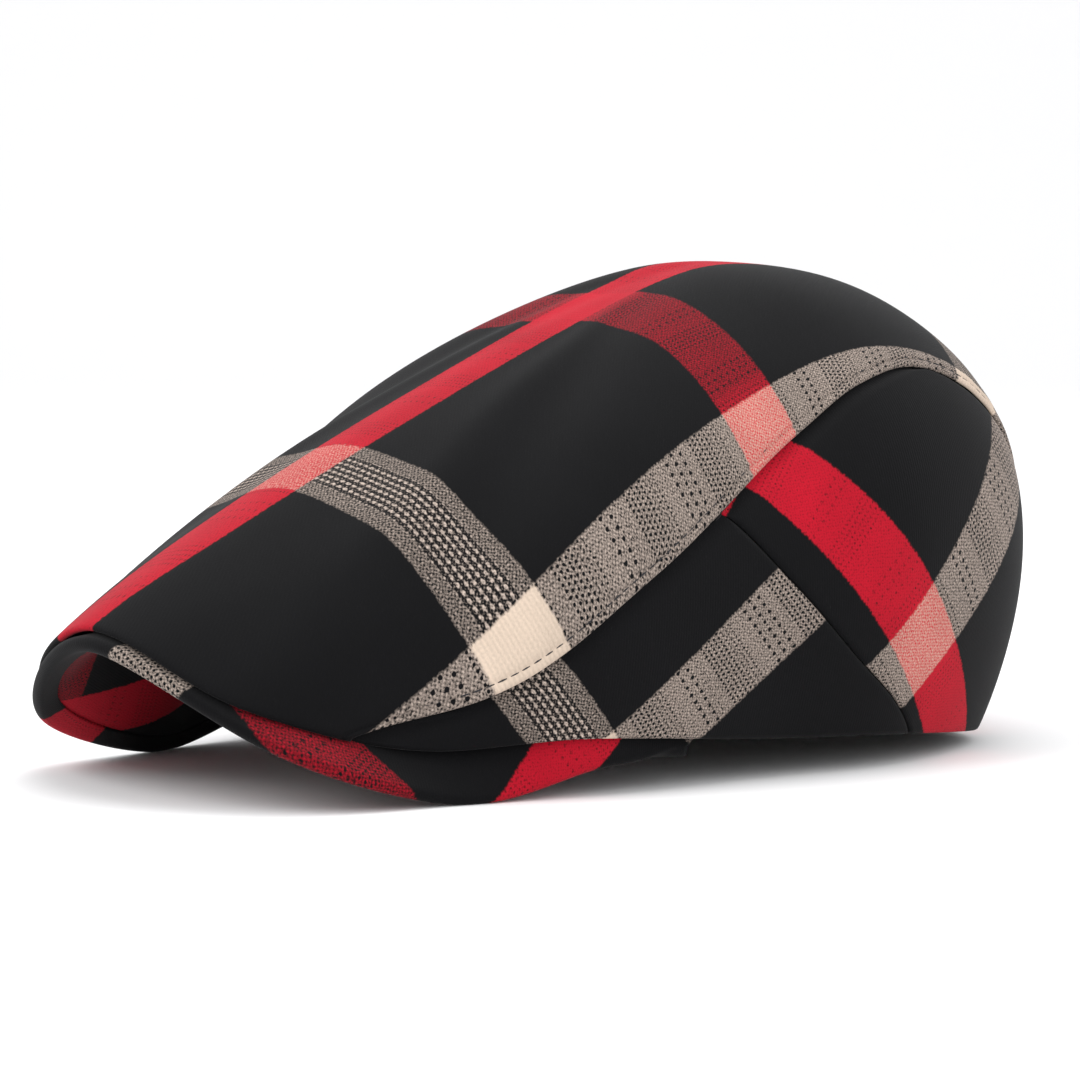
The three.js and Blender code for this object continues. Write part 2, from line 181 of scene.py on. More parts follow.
@dataclass
class Dome:
    """The crown's outer form. A place on it is a place on a flat unit disc whose rim is the hem.

    The disc's centre is the top of the crown, (0, -1) the front of the hem and (0, 1) the back.
    """

    hem: Sequence = (
        (0, -139, 42.5), (44, -126, 26), (61, -83, 12.5), (77, -44.5, 12.5),
        (79, 10, 8), (80, 60, 5), (55, 110, 0), (0, 123, 0),
    )
    apex: tuple = (0, 62, 129)
    apex_reach: tuple = (33, 54, 66)
    hem_reach: tuple = (47, 72, 90)
    hem_slope: tuple = (146, 73, 59)
    front_slope_width: float = 0.23
    cells: int = 80
    smoothing: int = 26
    grid: Array = field(init=False)

    def __post_init__(self) -> None:
        """Drafts the form on a square net and fairs it, holding the hem."""
        side = np.linspace(-1, 1, self.cells + 1)
        u, v = np.meshgrid(side, side, indexing="ij")
        disc = np.stack([u * np.sqrt(1 - v**2 / 2), v * np.sqrt(1 - u**2 / 2)], -1)
        net = self.drafted(disc)
        for step in range(2 * self.smoothing):
            amount = 0.5 if step % 2 == 0 else -0.52
            mean = (net[:-2, 1:-1] + net[2:, 1:-1] + net[1:-1, :-2] + net[1:-1, 2:]) / 4
            net[1:-1, 1:-1] += amount * (mean - net[1:-1, 1:-1])
        self.grid = np.pad(net, ((1, 1), (1, 1), (0, 0)), mode="reflect", reflect_type="odd")

    def drafted(self, disc: Array) -> Array:
        """The form before fairing: meridians from the apex to the hem.

        Args:
            disc: Places on the disc, in the last axis.

        Returns:
            Points in millimetres.
        """
        radius = np.minimum(np.linalg.norm(disc, axis=-1), 1)
        angle = np.arctan2(disc[..., 0], -disc[..., 1]) / np.pi
        share = np.abs(angle)
        hem = spline(mirrored_loop(self.hem), angle / 2, closed=True)
        apex = np.array(self.apex, float)
        outwards = unit((hem - apex) * (1, 1, 0))

        def round_the_hem(front: float, side: float, back: float) -> Array:
            """A value that is known at the front, side and back of the hem."""
            ends = (front + back) / 4
            once = (front - back) / 2 * np.cos(np.pi * share)
            twice = (ends - side / 2) * np.cos(2 * np.pi * share)
            return (ends + side / 2 + (once + twice))[..., None]

        front, side, back = self.hem_slope
        slope = side + (back - side) * np.maximum(0, 2 * share - 1) ** 2
        at_front = np.exp(-((share / self.front_slope_width) ** 2))
        slope = np.radians(slope + (front - side) * at_front)[..., None]
        near_apex = apex + outwards * round_the_hem(*self.apex_reach)
        rise = np.concatenate([outwards[..., :2] * np.cos(slope), np.sin(slope)], -1)
        near_hem = hem + rise * round_the_hem(*self.hem_reach)
        t = radius[..., None]
        near = (1 - t) ** 3 * apex + 3 * (1 - t) ** 2 * t * near_apex
        return near + 3 * (1 - t) * t**2 * near_hem + t**3 * hem

    def point(self, disc: Array) -> Array:
        """Points of the faired form, in millimetres, at places on the disc."""
        x, y = disc[..., 0], disc[..., 1]
        reach = np.maximum(np.hypot(x, y), 1.0)
        x, y = x / reach, y / reach
        root = 2 * math.sqrt(2)
        runs = []
        for way, other in ((x, y), (y, x)):
            ahead, behind = (
                np.sqrt(np.maximum(2 + way**2 - other**2 + sign * root * way, 0)) for sign in (1, -1)
            )
            runs.append(np.clip(((ahead - behind) / 2 + 1) / 2 * self.cells, 0, self.cells))
        cell = [np.minimum(np.floor(run).astype(int), self.cells - 1) for run in runs]
        weights = []
        for run, index in zip(runs, cell):
            t = run - index
            weights.append((
                (-t**3 + 2 * t**2 - t) / 2, (3 * t**3 - 5 * t**2 + 2) / 2,
                (-3 * t**3 + 4 * t**2 + t) / 2, (t**3 - t**2) / 2,
            ))
        total = np.zeros(disc.shape[:-1] + (3,))
        for i in range(4):
            for j in range(4):
                total += (weights[0][i] * weights[1][j])[..., None] * self.grid[cell[0] + i, cell[1] + j]
        return total

    def normal(self, disc: Array) -> Array:
        """Outward normals at places on the disc."""
        step = 0.006
        reach = np.maximum(np.linalg.norm(disc, axis=-1, keepdims=True) / (1 - 1.5 * step), 1)
        inside = disc / reach
        across = self.point(inside + (step, 0)) - self.point(inside - (step, 0))
        along = self.point(inside + (0, step)) - self.point(inside - (0, step))
        return unit(np.cross(across, along))

    def below(self, disc: Array, depth: Array | float) -> Array:
        """Points at a depth under the outer form, in millimetres."""
        depth = np.asarray(depth, float)[..., None]
        points = self.point(disc) - self.normal(disc) * depth
        points[..., 2] = np.maximum(points[..., 2], 0.02)
        return points


def on_circle(share: Array | float, radius: Array | float = 1.0) -> Array:
    """Places on a circle of the disc, `share` of the way round from the front to the back."""
    share = np.asarray(share, float)
    return np.stack([np.sin(np.pi * share), -np.cos(np.pi * share)], -1) * np.asarray(radius)[..., None]


def share_of(place: Sequence[float]) -> float:
    """How far round the hem a place on the disc lies, 0 at the front and 1 at the back."""
    return math.atan2(place[0], -place[1]) / math.pi


@dataclass
class Patch:
    """A four-sided piece of the disc, blended from its four edges.

    Each edge is a function of 0 to 1: `low` and `high` run from start to end, and `start` and `end` from low
    to high.
    """

    low: Callable[[Array], Array]
    high: Callable[[Array], Array]
    start: Callable[[Array], Array]
    end: Callable[[Array], Array]

    def at(self, u: Array, v: Array) -> Array:
        """Places on the disc for shares `u` from start to end and `v` from low to high."""
        one, zero = np.ones_like(u), np.zeros_like(u)
        s, t = u[..., None], v[..., None]
        ruled = (1 - t) * self.low(u) + t * self.high(u) + (1 - s) * self.start(v) + s * self.end(v)
        corners = (1 - s) * (1 - t) * self.low(zero) + s * (1 - t) * self.low(one)
        return ruled - corners - (1 - s) * t * self.high(zero) - s * t * self.high(one)


@dataclass
class CutLines:
    """Where the crown's cloth is cut, as curves on the disc for the wearer's left side."""

    seam: Array = field(default_factory=lambda: np.array([
        (0.65, -0.76), (0.80, -0.46), (0.835, -0.25), (0.78, -0.06), (0.685, 0.075),
        (0.54, 0.19), (0.40, 0.265), (0.30, 0.34), (0.258, 0.5), (0.235, 0.75), (0.22, 0.9755),
    ]))
    diagonal: Array = field(default_factory=lambda: np.array([
        (0.685, 0.075), (0.765, 0.24), (0.805, 0.42), (0.78, 0.626),
    ]))
    seam_at_diagonal: int = 4
    seam_at_corner: int = 7

    def seam_part(self, first: float, last: float, place: Array) -> Array:
        """Places on the long seam between two of its points, for shares of the way from one to the other."""
        return spline(self.seam, (first + (last - first) * place) / (len(self.seam) - 1))


@dataclass
class Bill:
    """The bill's form: a sheet bent into an arch, from the head opening out to the rim."""

    dome: Dome
    rim: Array = field(default_factory=lambda: mirrored_arc([
        (0, -140.4, 38.2), (51.3, -120.8, 15.6), (65.3, -76.6, 1.9), (73, -39, 8.5), (76, -11, 9.5),
    ]))
    inner: Array = field(default_factory=lambda: mirrored_arc([
        (0, -85, 62), (30, -76, 55), (55, -55, 38), (69, -31, 21), (74, -13, 14),
    ]))
    under_hem: float = 4.6

    def middle(self, across: Array, out: Array) -> Array:
        """Points halfway through the bill's thickness.

        Args:
            across: Right end 0 to left end 1.
            out: Head opening 0 to rim 1.

        Returns:
            Points in millimetres, on lines that pass just below the crown's hem.
        """
        sigma = 2 * across - 1
        hem = on_circle(0.68 * sigma - 0.16 * sigma**3)
        inner, rim = spline(self.inner, across), spline(self.rim, across)
        under = self.dome.point(hem) - self.dome.normal(hem) * self.under_hem
        first = np.linalg.norm(under - inner, axis=-1, keepdims=True)
        t = first / (first + np.linalg.norm(rim - under, axis=-1, keepdims=True))
        bend = (under - (1 - t) ** 2 * inner - t**2 * rim) / (2 * t * (1 - t))
        w = out[..., None]
        return (1 - w) ** 2 * inner + 2 * w * (1 - w) * bend + w**2 * rim

    def directions(self, across: Array, out: Array) -> tuple[Array, Array]:
        """The bill's upward normal, and the direction along it towards the rim."""
        step = 0.01
        back = np.minimum(out, 1 - step)
        outwards = unit(self.middle(across, back + step) - self.middle(across, back))
        ahead, behind = np.minimum(across + step, 1), np.maximum(across - step, 0)
        sideways = self.middle(ahead, out) - self.middle(behind, out)
        return unit(np.cross(outwards, sideways)), outwards

    def off(self, across: Array, out: Array, offset: Array | float) -> Array:
        """Points off the bill's middle, upwards where `offset` is positive."""
        normal, outwards = self.directions(across, np.minimum(out, 1))
        offset = np.broadcast_to(np.asarray(offset, float), across.shape)[..., None]
        points = self.middle(across, np.minimum(out, 1)) + normal * offset
        points[..., 2] = np.maximum(points[..., 2], 0.05)
        return points


# ---------------------------------------------------------------- making meshes


def new_piece(name: str, mesh: bmesh.types.BMesh) -> bpy.types.Object:
    """A new object in the scene from a bmesh, shaded smooth. The bmesh is freed."""
    for face in mesh.faces:
        face.smooth = True
    data = bpy.data.meshes.new(name)
    mesh.to_mesh(data)
    mesh.free()
    piece = bpy.data.objects.new(name, data)
    bpy.context.scene.collection.objects.link(piece)
    return piece


def sheet_object(name: str, columns: int, rows: int, place: Place, ring: bool = False) -> bpy.types.Object:
    """A one-layer sheet, from a grid whose points are put in place by a function.

    Args:
        name: The piece's name.
        columns: Squares from start to end.
        rows: Squares from low to high.
        place: Gives points in millimetres for shares from start to end and from low to high.
        ring: Whether the start and end edges are sewn together.

    Returns:
        The new object, at the origin, with its faces turned the way the grid's were.
    """
    mesh = bmesh.new()
    bmesh.ops.create_grid(mesh, x_segments=columns, y_segments=rows, size=0.5)
    mesh.verts.ensure_lookup_table()
    flat = np.array([v.co[:2] for v in mesh.verts]) + 0.5
    points = place(flat[:, 0], flat[:, 1]) * MM
    for vertex, point in zip(mesh.verts, points):
        vertex.co = point
    if ring:
        bmesh.ops.remove_doubles(mesh, verts=mesh.verts, dist=0.02 * MM)
    return new_piece(name, mesh)


# ---------------------------------------------------------------- cloth laid on the panels


@dataclass(frozen=True)
class Mark:
    """A place on the crown or bill, and what the cloth's own lines are there, in millimetres from its zero.

    `across` grows to the wearer's left and `along` to the back.
    """

    place: tuple[float, float]
    across: float | None = None
    along: float | None = None

    def mirrored(self) -> "Mark":
        """The same mark on the wearer's right side."""
        x, y = self.place
        return Mark((-x, y), None if self.across is None else -self.across, self.along)


def vertex_array(piece: bpy.types.Object) -> Array:
    """A mesh's points, one a row, in metres."""
    points = np.zeros(len(piece.data.vertices) * 3)
    piece.data.vertices.foreach_get("co", points)
    return points.reshape(-1, 3)


def laid_flat(piece: bpy.types.Object) -> Array:
    """Unfolds a one-layer sheet to the flat shape that it is cut to.

    Args:
        piece: A sheet with no modifiers.

    Returns:
        Where each vertex lies on the flat cloth, in millimetres.
    """
    data = piece.data
    bpy.ops.object.select_all(action="DESELECT")
    bpy.context.view_layer.objects.active = piece
    piece.select_set(True)
    data.uv_layers.active = data.uv_layers.new(name="unfolded")
    bpy.ops.object.mode_set(mode="EDIT")
    bpy.ops.mesh.select_all(action="SELECT")
    bpy.ops.uv.unwrap(method="ANGLE_BASED", margin=0.0)
    bpy.ops.object.mode_set(mode="OBJECT")
    loops = len(data.loops)
    uv, corner = np.zeros(loops * 2), np.zeros(loops, int)
    data.uv_layers["unfolded"].data.foreach_get("uv", uv)
    data.loops.foreach_get("vertex_index", corner)
    flat = np.zeros((len(data.vertices), 2))
    flat[corner] = uv.reshape(-1, 2)
    ends = np.zeros(len(data.edges) * 2, int)
    data.edges.foreach_get("vertices", ends)
    first, second = ends.reshape(-1, 2).T
    points = vertex_array(piece) / MM
    real = np.linalg.norm(points[first] - points[second], axis=1)
    drawn = np.linalg.norm(flat[first] - flat[second], axis=1)
    data.uv_layers.remove(data.uv_layers["unfolded"])
    return flat * (real.sum() / drawn.sum())


def cut_size(flat: Array) -> tuple[float, float]:
    """The width and length of the smallest rectangle that a flat shape can be cut from, in its own unit."""
    sizes = []
    for angle in np.radians(np.arange(0, 90, 1.0)):
        turned = flat @ np.array([[math.cos(angle), -math.sin(angle)], [math.sin(angle), math.cos(angle)]])
        sizes.append(sorted(np.ptp(turned, axis=0)))
    width, length = min(sizes, key=lambda size: size[0] * size[1])
    return float(width), float(length)


def run_length(points: Array) -> float:
    """The length of a line through points."""
    return float(np.linalg.norm(np.diff(points, axis=0), axis=1).sum())


def lay_cloth(piece: bpy.types.Object, places: Array, marks: Sequence[Mark], turn: float = 0.0) -> None:
    """Gives a sheet its cloth map, laid so that the cloth's lines pass through the marks.

    Args:
        piece: A one-layer sheet with no modifiers.
        places: Each vertex's place, in the same terms as the marks' places.
        marks: Where the cloth's lines run.
        turn: Roughly how far the cloth is turned on the sheet, in degrees.
    """
    flat = laid_flat(piece)
    flat -= flat.mean(axis=0)
    centred = places - places.mean(axis=0)
    fitted = np.linalg.lstsq(flat, centred, rcond=None)[0]
    left, _, right = np.linalg.svd(fitted)
    flat = flat @ (left @ right) / FIT_UNIT
    nearest = [int(np.argmin(np.linalg.norm(places - mark.place, axis=1))) for mark in marks]

    def direction(name: str, angle: float) -> tuple[float, float]:
        """Which way on the flat sheet a cloth coordinate grows."""
        return (math.cos(angle), math.sin(angle)) if name == "across" else (-math.sin(angle), math.cos(angle))

    def misfit(angle: float) -> float:
        """How badly straight cloth, turned by an angle, fits the marks."""
        total = 0.0
        for name in ("across", "along"):
            pairs = [(flat[i] @ direction(name, angle) * FIT_UNIT, getattr(mark, name))
                     for mark, i in zip(marks, nearest) if getattr(mark, name) is not None]
            off = np.array([laid - wanted for laid, wanted in pairs])
            total += ((off - off.mean()) ** 2).sum()
        return total

    angle = min(np.radians(turn + np.arange(-60, 61, 1.0)), key=misfit)
    log.info("%s: cloth turned %.0f degrees", piece.name, math.degrees(angle))
    x, y = flat.T
    terms = np.stack([np.ones(len(x)), x, y, x * x, x * y, y * y, x**3, x * x * y, x * y * y, y**3], -1)
    stiffness = np.diag([0, 0.4, 0.4, 0.6, 0.6, 0.6, 1.0, 1.0, 1.0, 1.0])
    cloth = np.zeros((len(flat), 2))
    for axis, name in enumerate(("across", "along")):
        rows, values = [], []
        for mark, index in zip(marks, nearest):
            if getattr(mark, name) is not None:
                rows.append(terms[index])
                values.append(getattr(mark, name))
        straight = np.zeros(terms.shape[1])
        straight[1:3] = direction(name, angle)
        rows += list(stiffness)
        values += list(stiffness @ straight * FIT_UNIT)
        solved = np.linalg.lstsq(np.array(rows, float), np.array(values, float), rcond=None)[0]
        cloth[:, axis] = terms @ solved
    data = piece.data
    corner = np.zeros(len(data.loops), int)
    data.loops.foreach_get("vertex_index", corner)
    data.uv_layers.new(name="cloth").data.foreach_set("uv", cloth[corner].reshape(-1))


# ---------------------------------------------------------------- finishes


@dataclass(frozen=True)
class CheckedWool:
    """Woven wool with a large check: a black ground, with red and black-and-cream stripes both ways.

    The dyed yarns give the colours. A stripe is solid only where it crosses another, and elsewhere its yarns
    show among black ones. Lengths are in millimetres. The real yarns are too fine to show, so they are drawn
    coarser.
    """

    across_repeat: float = 82.0
    along_repeat: float = 95.0
    half_stripe: float = 10.0
    edge_blur: float = 0.3
    stray: float = 0.18
    yarn: float = 0.55
    black: str = "09090b"
    red: str = "ac0f24"
    cream: str = "c6b4a3"
    cream_among_black: str = "c3b2a6"
    hole: float = 0.9
    band_repeat: float = 27.0
    large_pitch: tuple[float, float] = (2.9, 2.5)
    mesh_pitch: tuple[float, float] = (1.5, 1.35)
    row_pitch: float = 1.75
    dash_pitch: float = 2.1
    rows_half_width: float = 5.6
    rib_pitch: float = 1.2
    twill_pitch: float = 1.1
    blend: float = 0.45
    red_on_top: float = 0.44
    grey_along: float = -0.13
    grey_across: float = 0.26
    # fewer red yarns on top in lone red across the cap; on the bill this darkening is painted shade
    thinned_and_bill_shade: float = 0.56
    relief: float = 0.16
    roughness: float = 0.88
    sheen: float = 0.05

    def stripes(self, tree: Tree, run: Socket, repeat: float, red_first: bool,
                ragged: Socket) -> tuple[Socket, Socket, Socket]:
        """Masks of one family's red and grey stripes.

        Args:
            tree: The node tree.
            run: The cloth coordinate that crosses the stripes.
            repeat: From one stripe's middle to the next.
            red_first: Whether the stripe at zero is the red one.
            ragged: How far the yarns at the stripes' edges stray.

        Returns:
            The red mask, the grey mask and the distance from the middle of the nearest grey stripe.
        """
        from_even = add(tree, "Math:PINGPONG", run, repeat)
        from_odd = add(tree, "Math:SUBTRACT", repeat, from_even)
        masks = []
        for distance in (from_even, from_odd):
            edge = add(tree, "Math:ADD", distance, ragged)
            inner, outer = self.half_stripe - self.edge_blur, self.half_stripe + self.edge_blur
            masks.append(add(tree, "MapRange", edge, inner, outer, 1.0, 0.0, clamp=True))
        return (*masks, from_odd) if red_first else (masks[1], masks[0], from_even)

    def stray_of(self, tree: Tree, run: Socket) -> Socket:
        """How far each yarn ends the colour early or late, for the coordinate that crosses the yarns."""
        number = add(tree, "Math:FLOOR", add(tree, "Math:DIVIDE", run, self.yarn))
        noise = add(tree, "TexWhiteNoise", out="Value", noise_dimensions="1D", links={"W": number})
        return add(tree, "Math:MULTIPLY_ADD", noise, 2 * self.stray, -self.stray)

    def yarn_colour(self, tree: Tree, red_mask: Socket, grey_mask: Socket, crossed: Socket) -> Socket:
        """The colour of the yarns that run along one family's stripes.

        Args:
            tree: The node tree.
            red_mask: Where the family's red stripes are.
            grey_mask: Where its grey stripes are.
            crossed: Where the other family's stripes cross, and the cream lies among cream.

        Returns:
            The colour.
        """
        pale = add(tree, "Mix", crossed, data_type="RGBA", out=2,
                   links={6: linear(self.cream_among_black), 7: linear(self.cream)})
        dark = add(tree, "Mix", red_mask, data_type="RGBA", out=2,
                   links={6: linear(self.black), 7: linear(self.red)})
        return add(tree, "Mix", grey_mask, data_type="RGBA", out=2, links={6: dark, 7: pale})

    def lattice(self, tree: Tree, run: Socket, cross: Socket, pitches: tuple[float, float]) -> list[Socket]:
        """Waves from 0 to 1 over rows and over spots in a row, each row half a pitch on from the last.

        Args:
            tree: The node tree.
            run: The coordinate that steps from row to row.
            cross: The coordinate along a row.
            pitches: From row to row, and from spot to spot.

        Returns:
            The wave over rows and the wave over spots.
        """
        row = add(tree, "Math:FLOOR", add(tree, "Math:DIVIDE", run, pitches[0]))
        shifted = add(tree, "Math:MULTIPLY_ADD", row, pitches[1] / 2, cross)
        waves = [add(tree, "Math:SINE", add(tree, "Math:MULTIPLY", way, math.pi / pitch))
                 for way, pitch in zip((run, shifted), pitches)]
        return [add(tree, "Math:MULTIPLY", wave, wave) for wave in waves]

    def holes(self, tree: Tree, run: Socket, cross: Socket) -> Socket:
        """Holes between a stripe's yarns, in bands: plain cloth, a few large holes, and open mesh.

        Args:
            tree: The node tree.
            run: The coordinate along the stripe.
            cross: The coordinate across it.

        Returns:
            1 in a hole and 0 elsewhere.
        """
        place_in_band = add(tree, "Math:FRACT", add(tree, "Math:DIVIDE", run, self.band_repeat))
        bands = add(tree, "ValToRGB", place_in_band)
        ramp = bands.node.color_ramp
        ramp.interpolation = "CONSTANT"
        for place, large, mesh in ((0.0, 0, 0), (0.16, 1, 0), (0.44, 0, 0), (0.56, 0, 1), (0.84, 0, 0.35)):
            stop = ramp.elements[0] if place == 0.0 else ramp.elements.new(place)
            stop.color = (large, mesh, 0.0, 1.0)
        ramp.elements.remove(ramp.elements[-1])
        amounts = add(tree, "SeparateColor", bands).node.outputs
        kinds = []
        for amount, pitches, low, high in ((amounts[0], self.large_pitch, 0.62, 0.9),
                                           (amounts[1], self.mesh_pitch, 0.38, 0.75)):
            both = add(tree, "Math:MULTIPLY", *self.lattice(tree, run, cross, pitches))
            spots = add(tree, "MapRange", both, low, high, 0.0, 1.0, clamp=True)
            kinds.append(add(tree, "Math:MULTIPLY", spots, amount))
        return add(tree, "Math:ADD", *kinds)

    def stitch_rows(self, tree: Tree, across: Socket, along: Socket, from_middle: Socket) -> Socket:
        """Rows of raised cream stitches in the middle of the grey stripes across the cap.

        Args:
            tree: The node tree.
            across: The coordinate along those stripes.
            along: The coordinate across them.
            from_middle: The distance from a stripe's middle.

        Returns:
            Below 0 on a stitch, above 0 between stitches and 0 outside the rows.
        """
        rows, dashes = self.lattice(tree, along, across, (self.row_pitch, self.dash_pitch))
        dots = add(tree, "Math:MULTIPLY", rows, add(tree, "Math:MULTIPLY_ADD", dashes, 0.6, 0.4))
        dots = add(tree, "MapRange", dots, 0.3, 0.75, 0.2, -0.42, clamp=True)
        edge = self.rows_half_width
        middle = add(tree, "MapRange", from_middle, edge, edge + 0.6, 1.0, 0.0, clamp=True)
        return add(tree, "Math:MULTIPLY", dots, middle)

    def thinning_and_bill_shade(self, tree: Tree, across: Socket, along: Socket) -> Socket:
        """How far the lone red stripes across the cap show fewer red yarns on top: away from the other stripes,
        and on the bill, where the darker red is painted shade.
        """
        away = add(tree, "Math:ABSOLUTE", across)
        sparse_and_bill_shade = add(tree, "Math:MULTIPLY", add(tree, "MapRange", away, 4.0, 16.0, 0.0, 1.0, clamp=True),
                     add(tree, "MapRange", away, 66.0, 78.0, 1.0, 0.0, clamp=True))
        # painted shade: on the bill, below -50 mm along, the lone red gets fewer red yarns on top so that it
        # reads darker, as if in shade
        sparse_and_bill_shade = add(tree, "Math:MAXIMUM", sparse_and_bill_shade, add(tree, "Math:LESS_THAN", along, -50.0))
        return add(tree, "Math:MULTIPLY", sparse_and_bill_shade, self.thinned_and_bill_shade)

    def material(self) -> bpy.types.Material:
        """Builds the cloth from its yarns, on the pieces' own cloth map."""
        material, tree, shader = new_material("checked_wool")
        cloth = add(tree, "UVMap", out="UV", uv_map="cloth")
        across, along, _ = add(tree, "SeparateXYZ", cloth).node.outputs
        warp_red, warp_grey, _ = self.stripes(
            tree, across, self.across_repeat, True, self.stray_of(tree, along))
        weft_red, weft_grey, weft_middle = self.stripes(
            tree, along, self.along_repeat, False, self.stray_of(tree, across))
        in_warp = add(tree, "Math:MAXIMUM", warp_red, warp_grey)
        in_weft = add(tree, "Math:MAXIMUM", weft_red, weft_grey)
        alone = add(tree, "Math:SUBTRACT", 1.0, add(tree, "Math:MULTIPLY", in_warp, in_weft))
        warp_colour = self.yarn_colour(tree, warp_red, warp_grey, in_weft)
        weft_colour = self.yarn_colour(tree, weft_red, weft_grey, in_warp)

        # a salt-and-pepper weave: which yarn lies on top
        waves = [add(tree, "Math:SINE", add(tree, "Math:MULTIPLY", way, math.pi / self.yarn))
                 for way in (across, along)]
        cells = add(tree, "Math:MULTIPLY_ADD", add(tree, "Math:MULTIPLY", *waves), 0.16, 0.5)
        speckle = add(tree, "TexNoise", cloth, out="Fac", noise_dimensions="2D",
                      links={"Scale": 1.0 / self.yarn, "Detail": 2.0, "Roughness": 0.6})
        weave = add(tree, "Math:ADD", cells, add(tree, "Math:MULTIPLY_ADD", speckle, 1.3, -0.65))
        for run, cross, inside, amount, sign in (
            (along, across, in_warp, add(tree, "Math:MULTIPLY_ADD", warp_red, -0.5, 1.0), 1),
            (across, along, in_weft, add(tree, "Math:MULTIPLY", weft_red, 0.4), -1),
        ):
            holes = add(tree, "Math:MULTIPLY", self.holes(tree, run, cross), amount)
            holes = add(tree, "Math:MULTIPLY", add(tree, "Math:MULTIPLY", holes, inside), alone)
            weave = add(tree, "Math:MULTIPLY_ADD", holes, sign * self.hole, weave)
        grey_alone = add(tree, "Math:MULTIPLY", weft_grey, alone)
        stitches = self.stitch_rows(tree, across, along, weft_middle)
        weave = add(tree, "Math:SUBTRACT", weave, add(tree, "Math:MULTIPLY", stitches, grey_alone))

        # the share of warp on top: most of it in a red stripe along the cap, little in one across it
        lone_warp = add(tree, "Math:MULTIPLY", warp_red, add(tree, "Math:SUBTRACT", 1.0, in_weft))
        lone_weft = add(tree, "Math:MULTIPLY", weft_red, add(tree, "Math:SUBTRACT", 1.0, in_warp))
        # the lone red across the cap, darkened on the bill as painted shade
        thinned_and_bill_shade = add(tree, "Math:SUBTRACT", self.thinning_and_bill_shade(tree, across, along), self.red_on_top)
        share = add(tree, "Math:MULTIPLY_ADD", lone_warp, self.red_on_top, 0.5)
        share = add(tree, "Math:MULTIPLY_ADD", lone_weft, thinned_and_bill_shade, share)
        share = add(tree, "Math:MULTIPLY_ADD", warp_grey, self.grey_along, share)
        share = add(tree, "Math:MULTIPLY_ADD", weft_grey, self.grey_across, share)
        low, high = add(tree, "Math:SUBTRACT", share, self.blend), add(tree, "Math:ADD", share, self.blend)
        weft_on_top = add(tree, "MapRange", weave, low, high, 0.0, 1.0, clamp=True)
        colour = add(tree, "Mix", weft_on_top, data_type="RGBA", out=2,
                     links={6: warp_colour, 7: weft_colour})

        # slightly uneven dye, and fine ribs where two stripes cross
        cloudy = add(tree, "TexNoise", cloth, out="Fac", noise_dimensions="2D",
                     links={"Scale": 0.05, "Detail": 3.0})
        shade = add(tree, "Math:MULTIPLY_ADD", cloudy, 0.35, 0.82)
        ribs = add(tree, "Math:SINE", add(tree, "Math:MULTIPLY", along, 2 * math.pi / self.rib_pitch))
        ribs = add(tree, "Math:ADD", add(tree, "Math:MULTIPLY", ribs, 0.05),
                   add(tree, "Math:MULTIPLY_ADD", speckle, 0.3, -0.15))
        shade = add(tree, "Math:MULTIPLY_ADD", ribs, add(tree, "Math:SUBTRACT", 1.0, alone), shade)
        colour = add(tree, "Mix", 1.0, data_type="RGBA", out=2, blend_type="MULTIPLY",
                     links={6: colour, 7: shade})
        tree.links.new(colour, shader.inputs["Base Color"])

        # a faint twill on the ground and raised yarns in the stripes, under a short nap
        diagonal = add(tree, "Math:ADD", across, along)
        twill = add(tree, "Math:SINE", add(tree, "Math:MULTIPLY", diagonal, 2 * math.pi / self.twill_pitch))
        ground = add(tree, "Math:MULTIPLY_ADD", speckle, 0.5, add(tree, "Math:MULTIPLY", twill, 0.12))
        raised = add(tree, "Math:MULTIPLY", weave, 0.9)
        height = add(tree, "Mix", add(tree, "Math:MAXIMUM", in_warp, in_weft), data_type="FLOAT",
                     links={2: ground, 3: raised})
        bump = add(tree, "Bump", 0.55, self.relief * MM, links={"Height": height})
        tree.links.new(bump, shader.inputs["Normal"])
        shader.inputs["Roughness"].default_value = self.roughness
        shader.inputs["Specular IOR Level"].default_value = 0.12
        shader.inputs["Sheen Weight"].default_value = self.sheen
        shader.inputs["Sheen Roughness"].default_value = 0.45
        return material


def new_material(name: str) -> tuple[bpy.types.Material, Tree, bpy.types.Node]:
    """A new material, its node tree and its main shader."""
    material = bpy.data.materials.new(name)
    material.use_nodes = True
    return material, material.node_tree, material.node_tree.nodes["Principled BSDF"]


@dataclass(frozen=True)
class Textile:
    """A plain woven or knitted textile, or a plain solid, in one colour. Lengths are in millimetres."""

    name: str
    colour: str
    roughness: float
    yarn: float = 0.6
    relief: float = 0.1
    contrast: float = 0.15
    sheen: float = 0.0
    gloss: float = 0.3
    stretched: float = 1.0

    def material(self) -> bpy.types.Material:
        """Builds the textile on the object's own coordinates."""
        material, tree, shader = new_material(self.name)
        place = add(tree, "TexCoord", out="Object")
        scaled = add(tree, "Mapping", place, links={"Scale": (1.0, 1.0, self.stretched)})
        yarns = add(tree, "TexVoronoi", scaled, out="Distance", links={"Scale": 1.0 / (self.yarn * MM)})
        cloudy = add(tree, "TexNoise", place, out="Fac", links={"Scale": 60.0, "Detail": 3.0})
        shade = add(tree, "Math:MULTIPLY_ADD", yarns, -self.contrast, 1.0)
        shade = add(tree, "Math:MULTIPLY_ADD", cloudy, 0.3 * self.contrast, shade)
        colour = add(tree, "Mix", 1.0, data_type="RGBA", out=2, blend_type="MULTIPLY",
                     links={6: linear(self.colour), 7: shade})
        tree.links.new(colour, shader.inputs["Base Color"])
        bump = add(tree, "Bump", 0.6, self.relief * MM, links={"Height": yarns})
        tree.links.new(bump, shader.inputs["Normal"])
        shader.inputs["Roughness"].default_value = self.roughness
        shader.inputs["Specular IOR Level"].default_value = self.gloss
        shader.inputs["Sheen Weight"].default_value = self.sheen
        return material


# ---------------------------------------------------------------- sewn pieces


